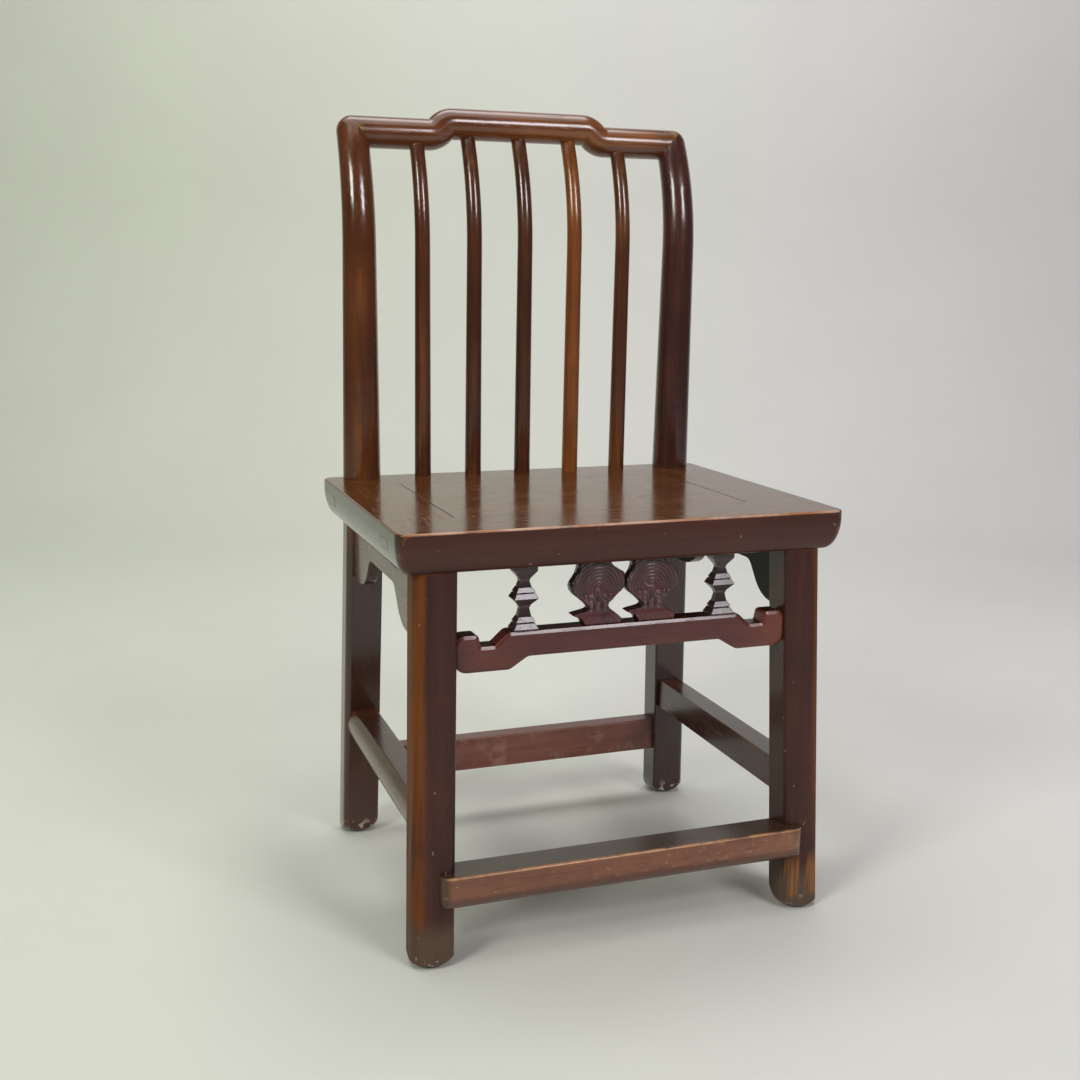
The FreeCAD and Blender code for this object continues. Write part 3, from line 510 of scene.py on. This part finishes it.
# how each CAD piece that stays is finished: look, grain, eased arris in metres
frameFinish = {
    "front_leg_left": ("leg", "Z", 0), "front_leg_right": ("leg", "Z", 0),
    "back_leg_left": ("stileWarm", "Z", 0), "back_leg_right": ("stileCool", "Z", 0),
    "crest_rail": ("crest", "X", 0),
    "spindle_1": ("rod", "Z", 0), "spindle_2": ("rod", "Z", 0), "spindle_3": ("rod", "Z", 0),
    "spindle_4": ("paleRod", "Z", 0), "spindle_5": ("rod", "Z", 0),
    "seat_panel": ("seat", "X", 0.0004),
    "seat_batten_left": ("frame", "Y", 0.0008), "seat_batten_right": ("frame", "Y", 0.0008),
    "side_apron_left": ("apron", "Y", 0.001), "side_apron_right": ("farApron", "Y", 0.001),
    "back_apron": ("frame", "X", 0.001),
    "foot_rest": ("footRest", "X", 0),
    "side_stretcher_left": ("side", "Y", 0.0012), "side_stretcher_right": ("side", "Y", 0.0012),
    "back_stretcher": ("lowBack", "X", 0),
}
easeLook = {"weld": 0.00002, "flatDegrees": 0.003, "segments": 3, "cornerDegrees": 36, "weight": 80}
for name, (lookName, grain, arris) in frameFinish.items():
    piece = nodes[name]
    dress(piece, lookName, grain)
    if arris:
        weld = piece.modifiers.new("weld", "WELD")
        weld.merge_threshold = easeLook["weld"]
        flat = piece.modifiers.new("flat", "DECIMATE")
        flat.decimate_type = "DISSOLVE"
        flat.angle_limit = math.radians(easeLook["flatDegrees"])
        ease = piece.modifiers.new("ease", "BEVEL")
        ease.width = arris
        ease.segments = easeLook["segments"]
        ease.limit_method = "ANGLE"
        ease.angle_limit = math.radians(easeLook["cornerDegrees"])
        ease.use_clamp_overlap = False
        lie = piece.modifiers.new("lie", "WEIGHTED_NORMAL")
        lie.weight = easeLook["weight"]
print("frame dressed:", len(frameFinish), "pieces")


def makePiece(name, points, faces, marks, node, lookName, grain):
    mesh = bpy.data.meshes.new(name)
    mesh.from_pydata([tuple(p) for p in points], [], faces)
    for mark, values in marks.items():
        mesh.attributes.new(mark, "FLOAT", "POINT").data.foreach_set("value", [float(v) for v in values])
    mesh.validate()
    mesh.shade_smooth()
    piece = addObject(name, mesh)
    dress(piece, lookName, grain)
    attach(piece, "root")
    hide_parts(node)
    return piece


def ringFaces(count, ring, start=0):  # walls between rings of points that lie one above another
    faces = []
    for k in range(count - 1):
        for i in range(ring):
            a, b = start + k * ring + i, start + k * ring + (i + 1) % ring
            faces.append((a, b, b + ring, a + ring))
    return faces


# carved blossoms between the stepped rail and the seat, in millimetres from the foot of their middle line;
# the edges are stops of height and place, a boss is its place out and up, half width, half height and rise
blossomLook = {
    "left": [(0, -14.5), (3.5, -16.0), (7.5, -18.5), (10.0, -24.5), (11.6, -27.5), (12.8, -22.5),
             (14.0, -15.5), (15.5, -10.5), (17.5, -8.6), (20.0, -10.8), (24.0, -14.5), (28.5, -19.5),
             (32.0, -24.0), (36.5, -27.2), (41.5, -28.2), (45.5, -27.0), (49.5, -24.0), (54.5, -21.0),
             (60.0, -19.5), (67.5, -19.5)],
    "right": [(0, 26.0), (4.0, 26.5), (7.0, 24.0), (12.0, 18.2), (16.5, 12.8), (19.5, 11.6), (22.5, 12.6),
              (26.5, 17.0), (30.6, 20.9), (34.7, 26.0), (38.0, 28.6), (46.0, 29.6), (54.0, 28.6),
              (57.5, 23.0), (62.0, 16.5), (67.5, 13.0)],
    "edgeLine": (-4, 72, 1521), "bellSteps": 30, "bellReach": 3, "bellSpread": 0.9,
    "middles": {"left": -32.0, "right": 29.0}, "widen": 1.05, "thickness": 16.0,
    "rows": 200, "columns": 140, "crowding": 0.35,
    "bead": (0.0, 37.0), "beadRadius": 3.0, "beadRise": 2.0,
    "fanSides": (-0.50, -0.10), "fanFrom": (4.4, 5.8), "fanSink": 0.5, "fanSlope": 0.015,
    "firstRing": 5.6, "ringStep": 3.7, "ringRise": 0.95, "ringPower": 0.8, "ringEnd": 0.78,
    "ringWave": 0.03, "ringUneven": 0.25,
    "pairedBosses": [(7.5, 30.7, 2.9, 2.9, 1.8), (7.8, 22.0, 2.1, 4.8, 2.1), (8.0, 14.6, 1.7, 2.4, 1.5),
                     (14.0, 28.0, 3.4, 4.4, 1.1)],
    "pairedGroove": (4.2, 21.5, 1.3, 5.0, 0.9), "hollow": (0.0, 27.0, 3.2, 6.0, 1.3),
    "bud": (0.0, 17.0, 2.4, 3.2, 1.1),
    "footTop": (13.5, 12.0), "footMiddle": 6.5, "footHalf": 7.2, "footRise": 1.5, "footSink": 0.9,
    "veinsFrom": 30, "veinCount": 3.2, "veinDepth": 0.35, "edgeRound": 2.2, "edgeDrop": 2.0,
    "backRound": 2.0, "backDrop": 1.5, "blushRing": 8.5, "blushSpread": 3.5, "blushSides": (-0.8, -0.3),
}


def smooth(low, high, value):
    t = np.clip((value - low) / (high - low), 0, 1)
    return t * t * (3 - 2 * t)


def dome(distance):  # a round boss, 1 in the middle and 0 from the distance of 1
    return np.sqrt(np.clip(1 - distance ** 2, 0, 1))


def blossomRelief(u, h, rim):
    carve = blossomLook
    beadU, beadH = carve["bead"]
    r = np.hypot(u - beadU, h - beadH)
    turn = np.arctan2(h - beadH, u - beadU)
    # petals that lap outwards in rings round the bead
    fan = smooth(*carve["fanSides"], np.sin(turn)) * smooth(*carve["fanFrom"], r)
    wave = r * (1 + carve["ringWave"] * np.cos(2 * turn + 0.5)) - carve["firstRing"]
    part = (wave / carve["ringStep"]) % 1.0
    ring = part ** carve["ringPower"] * smooth(1.0, carve["ringEnd"], part)
    uneven = 1 - carve["ringUneven"] + carve["ringUneven"] * np.cos(3 * turn + r * 0.4)
    relief = fan * (carve["ringRise"] * uneven * ring - carve["fanSink"] - carve["fanSlope"] * r)
    relief += carve["beadRise"] * dome(r / carve["beadRadius"])

    def spot(out, up, wide, tall):  # distance from a boss, 1 at its edge
        return np.hypot((u - out) / wide, (h - up) / tall)

    # beads, upright curls and leaves on both sides, with a groove beside each curl
    for side in (-1, 1):
        for out, up, wide, tall, rise in carve["pairedBosses"]:
            relief += rise * dome(spot(side * out, up, wide, tall))
        out, up, wide, tall, sink = carve["pairedGroove"]
        relief -= sink * smooth(1.5, 0.4, spot(side * out, up, wide, tall))
    relief -= carve["hollow"][-1] * smooth(1.0, 0.5, spot(*carve["hollow"][:-1]))
    relief += carve["bud"][-1] * dome(spot(*carve["bud"][:-1]))
    # veined leaf at the foot
    foot = smooth(*carve["footTop"], h)
    bulge = dome(np.clip((h - carve["footMiddle"]) / carve["footHalf"], -1, 1))
    relief += foot * (carve["footRise"] * bulge - carve["footSink"])
    veins = np.abs(((np.arctan2(u, carve["veinsFrom"] - h) * carve["veinCount"] + 0.5) % 1.0) - 0.5)
    relief -= foot * carve["veinDepth"] * smooth(0.10, 0.02, veins)
    relief -= carve["edgeDrop"] * (1 - smooth(0.0, carve["edgeRound"], rim)) ** 2
    redRing = np.exp(-((r - carve["blushRing"]) / carve["blushSpread"]) ** 2)
    redRing *= smooth(*carve["blushSides"], np.sin(turn))
    return relief, np.maximum(foot, redRing)


def softLine(h, stops):  # an edge through the stops, with its corners eased
    fine = np.linspace(*blossomLook["edgeLine"])
    half, reach = blossomLook["bellSteps"], blossomLook["bellReach"]
    bell = np.exp(-0.5 * (np.linspace(-reach, reach, 2 * half + 1) / blossomLook["bellSpread"]) ** 2)
    eased = np.convolve(np.interp(fine, *zip(*stops)), bell / bell.sum(), "valid")
    return np.interp(h, fine[half:-half], eased)


def makeBlossom(side):
    node = "blossom_strut_" + side
    low, high = (np.array(corner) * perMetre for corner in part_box(node))
    middle = blossomLook["middles"][side]
    front = (low[1] + high[1]) / 2 - blossomLook["thickness"] / 2
    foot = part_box("hump_stretcher")[1].z * perMetre
    rows, columns = blossomLook["rows"], blossomLook["columns"]
    h = np.linspace(0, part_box("seat_front_rail")[0].z * perMetre - foot, rows)
    leftEdge, rightEdge = (softLine(h, blossomLook[k]) * blossomLook["widen"] for k in ("left", "right"))
    share, crowding = np.linspace(0, 1, columns), blossomLook["crowding"]
    share = smooth(0, 1, share) * crowding + share * (1 - crowding)  # closer columns at the edges
    u = leftEdge[:, None] + (rightEdge - leftEdge)[:, None] * share[None, :]
    hh = np.repeat(h[:, None], columns, 1)
    rim = np.minimum(u - leftEdge[:, None], rightEdge[:, None] - u)
    relief, blush = blossomRelief(u, hh, rim)
    plain = -blossomLook["backDrop"] * (1 - smooth(0.0, blossomLook["backRound"], rim)) ** 2
    sheets = []
    for depth in (front - relief, front + blossomLook["thickness"] + plain):
        sheets.append(np.stack([middle + u, depth, foot + hh], -1).reshape(-1, 3))
    points = np.concatenate(sheets) / perMetre
    marks = {"relief": np.concatenate([relief.ravel(), plain.ravel()]),
             "blush": np.concatenate([blush.ravel(), plain.ravel() * 0])}
    count = rows * columns
    faces = []
    for j in range(rows - 1):
        for i in range(columns - 1):
            a = j * columns + i
            faces.append((a, a + 1, a + 1 + columns, a + columns))
            faces.append((count + a, count + a + columns, count + a + 1 + columns, count + a + 1))
    edgeLoop = [j * columns for j in range(rows - 1, 0, -1)] + list(range(columns - 1))
    edgeLoop += [j * columns + columns - 1 for j in range(rows - 1)]
    edgeLoop += [(rows - 1) * columns + i for i in range(columns - 1, 0, -1)]
    for k, a in enumerate(edgeLoop):
        b = edgeLoop[(k + 1) % len(edgeLoop)]
        faces.append((a, count + a, count + b, b))
    makePiece("carved_blossom_" + side, points, faces, marks, node, "blossom", "Z")


for side in ("left", "right"):
    makeBlossom(side)
print("blossoms carved")


# stepped square balusters: height and half width in millimetres, from the foot up
balusterLook = {
    "steps": [(0, 13.6), (1.6, 13.6), (6.9, 10.5), (7.3, 9.3), (8.3, 9.2), (8.7, 10.6), (13.7, 7.7),
              (14.1, 6.9), (15.1, 6.8), (18.5, 6.0), (22.8, 5.2), (26.5, 6.8), (33.5, 13.5), (38.5, 10.6),
              (38.9, 9.4), (39.6, 9.3), (40.0, 10.4), (44.7, 7.7), (45.1, 6.9), (46.0, 6.8), (51.3, 5.3),
              (54.0, 6.1), (62.2, 12.5), (67.5, 12.5)],
    "grooves": (7.3, 8.3, 14.1, 15.1, 38.9, 39.6, 45.1, 46.0), "depthShare": 21 / 27, "corner": 0.7,
    "sharpDegrees": 13,
}


def makeBaluster(side):
    node = "baluster_" + side
    low, high = (np.array(corner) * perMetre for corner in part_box(node))
    middle = (low + high) / 2
    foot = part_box("hump_stretcher")[1].z * perMetre
    corner = balusterLook["corner"]
    around = []  # the four rounded corners, three points each
    for k, (cx, cy) in enumerate(((1, 1), (-1, 1), (-1, -1), (1, -1))):
        around += [(cx, cy, math.radians(90 * k + 45 * t)) for t in (0, 1, 2)]
    ring = len(around)
    points, hollow = [], []
    for height, half in balusterLook["steps"]:
        deep = half * balusterLook["depthShare"]
        # grooves get a relief of -1, where the finish paints shade
        hollow += [-1.0 if height in balusterLook["grooves"] else 0.0] * ring
        for cx, cy, angle in around:
            x = cx * (half - corner) + corner * math.cos(angle)
            y = cy * (deep - corner) + corner * math.sin(angle)
            points.append((middle[0] + x, middle[1] + y, foot + height))
    faces = ringFaces(len(balusterLook["steps"]), ring)
    faces.append(tuple(reversed(range(ring))))
    faces.append(tuple(range(len(points) - ring, len(points))))
    piece = makePiece("stepped_baluster_" + side, np.array(points) / perMetre, faces, {"relief": hollow},
                      node, "baluster", "Z")
    piece.data.set_sharp_from_angle(angle=math.radians(balusterLook["sharpDegrees"]))


for side in ("left", "right"):
    makeBaluster(side)
print("balusters stepped")


# stepped rail under the struts, in millimetres: corners of its right half as x, z and round,
# and its front and back arrises as inset and depth
humpLook = {
    "half": [(109.5, 322.5, 12), (129.5, 309.8, 11), (188.6, 309.8, 13), (188.6, 349.3, 11.0),
             (163.0, 349.3, 4.6), (160.6, 336.8, 2), (145.0, 336.8, 3), (131.0, 349.5, 8)],
    "arris": [(4.0, 0.0), (3.6, 0.08), (0.5, 1.45), (0.12, 1.85), (0.0, 2.6)],
    "back": [(0.0, 20.8), (0.35, 21.65), (1.2, 22.0)], "arcSteps": 7, "weight": 100,
}


def roundedLoop(corners, inset, steps):
    spots = np.array([c[:2] for c in corners], float)
    ways = np.roll(spots, -1, 0) - spots
    ways /= np.linalg.norm(ways, axis=1)[:, None]
    inward = np.stack([-ways[:, 1], ways[:, 0]], 1)
    loop = []
    for k in range(len(spots)):
        before, after = ways[k - 1], ways[k]
        cross = before[0] * after[1] - before[1] * after[0]
        swing = math.atan2(cross, before @ after)
        middle = (inward[k - 1] + inward[k]) / (1 + inward[k - 1] @ inward[k])
        spot = spots[k] + middle * inset
        turn = 1 if cross > 0 else -1
        size = corners[k][2] - inset * turn
        reach = size * abs(math.tan(swing / 2))
        centre = spot - before * reach + inward[k - 1] * size * turn
        x, y = -inward[k - 1] * size * turn
        for t in np.linspace(0, swing, steps):
            loop.append(centre + (x * math.cos(t) - y * math.sin(t), x * math.sin(t) + y * math.cos(t)))
    return np.array(loop)


def makeHump():
    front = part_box("hump_stretcher")[0].y * perMetre
    half = humpLook["half"]
    corners = half + [(-x, z, r) for x, z, r in reversed(half)]
    layers = humpLook["arris"] + humpLook["back"]
    points = []
    for inset, depth in layers:
        points += [(x, front + depth, z) for x, z in roundedLoop(corners, inset, humpLook["arcSteps"])]
    ring = len(points) // len(layers)
    faces = [(a, d, c, b) for a, b, c, d in ringFaces(len(layers), ring)]  # the layers run to the back
    faces.append(tuple(range(ring)))
    faces.append(tuple(reversed(range(len(points) - ring, len(points)))))
    piece = makePiece("stepped_rail", np.array(points) / perMetre, faces, {},
                      "hump_stretcher", "frame", "X")
    piece.modifiers.new("lie", "WEIGHTED_NORMAL").weight = humpLook["weight"]


makeHump()
print("front rail stepped")


# seat frame with its lip, in millimetres: profile as inset and depth below the top, the round of its
# corners in plan, and for each rail the way it faces and its grain
lipLook = {
    "profile": [(2.5, 0), (1.55, 0.2), (0.73, 0.73), (0.2, 1.5), (0, 2.5), (0, 12), (0.15, 16), (0.6, 20),
                (1.3, 24.5), (2.1, 28), (3.1, 31.5), (4.4, 35), (5.9, 38), (7.5, 40.3), (9.1, 42),
                (10.3, 42.8), (11.2, 43)],
    "corner": 12.0, "arcSteps": 9, "arrisDepth": 3, "tenonProud": 0.15, "tenonReach": 12.0, "tenonRows": 5,
    "sharpDegrees": 35,
    "sides": {"seat_side_rail_right": (0, "Y"), "seat_back_rail": (90, "X"),
              "seat_side_rail_left": (180, "Y"), "seat_front_rail": (270, "X")},
}


def addTenon(points, faces, cx, cy):  # the end of a long rail, just proud of the side rail's lip
    insets, depths = zip(*lipLook["profile"])
    heights = np.linspace(-1, 1, lipLook["tenonRows"]) * seatRim["tenonHalfZ"] + seatRim["tenonZ"]
    near, far = (seatRim["middleY"] + cy * (seatRim["tenonY"] + k * seatRim["tenonHalfY"]) for k in (-1, 1))
    inner = cx * (seatRim["halfX"] - lipLook["tenonReach"] / perMetre)
    start = len(points)
    for z in heights:
        inset = np.interp((seatRim["top"] - z) * perMetre, depths, insets)
        outer = cx * (seatRim["halfX"] - (inset - lipLook["tenonProud"]) / perMetre)
        points += [(outer, near, z), (outer, far, z), (inner, far, z), (inner, near, z)]
    faces += ringFaces(len(heights), 4, start)
    faces += [tuple(start + i for i in (3, 2, 1, 0)), tuple(len(points) - 4 + i for i in range(4))]


def makeLip(node):
    facing, grain = lipLook["sides"][node]
    halfX, halfY, middleY, top = (seatRim[k] * perMetre for k in ("halfX", "halfY", "middleY", "top"))
    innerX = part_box("seat_side_rail_right")[0].x * perMetre
    innerY = halfY - (halfX - innerX)
    steps = lipLook["arcSteps"]
    # half of the round at either end, up to the mitres
    turns = [math.radians(facing + a) for start in (-45, 0) for a in np.linspace(start, start + 45, steps)]
    corners = []
    for mitre in (math.radians(facing - 45), math.radians(facing + 45)):
        corners.append((1 if math.cos(mitre) > 0 else -1, 1 if math.sin(mitre) > 0 else -1))
    rows = []
    for inset, depth in lipLook["profile"]:
        size = lipLook["corner"] - (inset if depth < lipLook["arrisDepth"] else 0)
        row = []
        for k, angle in enumerate(turns):
            cx, cy = corners[k >= steps]
            x = cx * (halfX - inset - size) + size * math.cos(angle)
            y = cy * (halfY - inset - size) + size * math.sin(angle)
            row.append((x, y, top - depth))
        rows.append(row)
    wide = len(turns)
    first, last = (np.array((cx * innerX, cy * innerY)) for cx, cy in corners)
    for z in (top - lipLook["profile"][-1][1], top):
        rows.append([(*(first + (last - first) * t), z) for t in np.linspace(0, 1, wide)])
    points = [(x / perMetre, (y + middleY) / perMetre, z / perMetre) for row in rows for x, y, z in row]
    faces = []
    for j in range(len(rows)):
        a, b = j * wide, (j + 1) % len(rows) * wide
        faces += [(a + i, b + i, b + i + 1, a + i + 1) for i in range(wide - 1)]
    faces.append(tuple(j * wide for j in range(len(rows))))
    faces.append(tuple(j * wide + wide - 1 for j in reversed(range(len(rows)))))
    if grain == "X":  # the long rails' tenons come through the side rails
        for cx, cy in corners:
            addTenon(points, faces, cx, cy)
    piece = makePiece(node.replace("seat", "lipped"), points, faces, {}, node, "seat", grain)
    shell = bmesh.new()
    shell.from_mesh(piece.data)
    bmesh.ops.recalc_face_normals(shell, faces=shell.faces)
    shell.to_mesh(piece.data)
    shell.free()
    piece.data.set_sharp_from_angle(angle=math.radians(lipLook["sharpDegrees"]))
    piece.modifiers.new("lie", "WEIGHTED_NORMAL").keep_sharp = True


for node in lipLook["sides"]:
    makeLip(node)
print("seat frame lipped")


# plain pale floor that sweeps up behind the chair, in metres
sweepLook = {
    "width": 9.0, "front": -5.0, "bend": 1.9, "radius": 1.0, "top": 4.0,
    "bendSteps": 16, "turnDegrees": -19.5,
    "left": (0.645, 0.672, 0.575), "right": (0.675, 0.665, 0.660), "toneReach": 1.3,
    "cloud": ((0.40, 0.40, 0.38), 0.06), "cloudNoise": (3.0, 3, 0.6), "cloudLevels": (0.3, 0.7),
    "roughness": 0.85, "shine": 0.2,
}


def makeSweep():
    bend, radius, steps = sweepLook["bend"], sweepLook["radius"], sweepLook["bendSteps"]
    profile = [(sweepLook["front"], 0.0), (bend, 0.0)]
    for k in range(1, steps + 1):
        angle = math.radians(90 * k / steps)
        profile.append((bend + radius * math.sin(angle), radius * (1 - math.cos(angle))))
    profile.append((bend + radius, sweepLook["top"]))
    half = sweepLook["width"] / 2
    points = [(x, y, z) for y, z in profile for x in (-half, half)]
    faces = [(2 * k, 2 * k + 1, 2 * k + 3, 2 * k + 2) for k in range(len(profile) - 1)]
    mesh = bpy.data.meshes.new("floor")
    mesh.from_pydata(points, [], faces)
    mesh.shade_smooth()
    floor = addObject("floor", mesh)
    floor.rotation_euler.z = math.radians(sweepLook["turnDegrees"])
    material = bpy.data.materials.new("pale_floor")
    tree = freshTree(material)
    place = tree.add("TexCoord", out="Object")
    rightward = tree.add("SeparateXYZ", {}, {0: place}, out="X")
    # painted light: the floor is tinted greenish on the left and lilac on the right, the colours of the two
    # side lamps
    tone = rightward.ease(-sweepLook["toneReach"], sweepLook["toneReach"])
    tone = tone.between(sweepLook["left"], sweepLook["right"])
    clouds = place.noise(*sweepLook["cloudNoise"]).ease(*sweepLook["cloudLevels"])
    shader = tree.add("BsdfPrincipled", {}, {
        "Base Color": clouds.paint(tone, *sweepLook["cloud"]), "Roughness": sweepLook["roughness"],
        "Specular IOR Level": sweepLook["shine"]})
    tree.add("OutputMaterial", {}, {"Surface": shader})
    mesh.materials.append(material)


makeSweep()
print("floor swept")

# soft lamps, in metres and watts
lampLook = {
    "overhead": {"place": (-0.3, 0.2, 3.2), "size": 3.0, "power": 47, "colour": (1.0, 0.99, 0.97),
                 "aim": (0, 0.2, 0)},
    "backdrop": {"place": (0.3, 0.9, 3.3), "size": 2.0, "power": 38, "colour": (0.98, 0.97, 1.0),
                 "aim": (1.1, 2.8, 1.2)},
    "left": {"place": (-2.75, -1.70, 2.30), "size": 1.0, "power": 53, "colour": (0.98, 1.0, 0.90),
             "aim": (0, 0, 0.5)},
    "right": {"place": (1.25, -2.95, 2.25), "size": 1.0, "power": 49, "colour": (1.0, 0.96, 1.0),
              "aim": (0, 0, 0.5)},
}
for name, lamp in lampLook.items():
    light = bpy.data.lights.new(name, "AREA")
    light.size = lamp["size"]
    light.energy = lamp["power"]
    light.color = lamp["colour"]
    holder = addObject(name, light)
    holder.location = lamp["place"]
    holder.rotation_euler = (Vector(lamp["aim"]) - Vector(lamp["place"])).to_track_quat("-Z", "Y").to_euler()

# the world is pale to the camera, and a soft light on the chair
worldLook = {"light": (0.115, 0.117, 0.112), "seen": (0.60, 0.605, 0.57)}
world = bpy.data.worlds.new("studio")
tree = freshTree(world)
tone = tree.add("LightPath", out="Is Camera Ray").between(worldLook["light"], worldLook["seen"])
tree.add("OutputWorld", {}, {"Surface": tree.add("Background", {}, {"Color": tone, "Strength": 1.0})})
scene.world = world
print("lamps and world set")

# the photograph's camera, found from the chair's own edges: metres, degrees, and pixels of the photograph
cameraLook = {"place": (-0.5424, -1.43595, 0.7076), "yaw": 19.5, "pitch": 11.2, "roll": 0.5,
              "sensor": 36, "focalPixels": 1336, "photoPixels": 1080}
yaw, pitch, roll = (math.radians(cameraLook[k]) for k in ("yaw", "pitch", "roll"))
ahead = Vector((math.sin(yaw) * math.cos(pitch), math.cos(yaw) * math.cos(pitch), -math.sin(pitch)))
right = Vector((math.cos(yaw), -math.sin(yaw), 0))
up = right.cross(ahead)
across = right * math.cos(roll) + up * math.sin(roll)
above = up * math.cos(roll) - right * math.sin(roll)
lens = bpy.data.cameras.new("camera")
lens.sensor_width = cameraLook["sensor"]
lens.lens = cameraLook["sensor"] * cameraLook["focalPixels"] / cameraLook["photoPixels"]
camera = addObject("camera", lens)
turnTo = Matrix((across, above, -ahead)).transposed().to_4x4()
camera.matrix_world = Matrix.Translation(cameraLook["place"]) @ turnTo
scene.camera = camera
print("camera set")

bpy.context.view_layer.update()
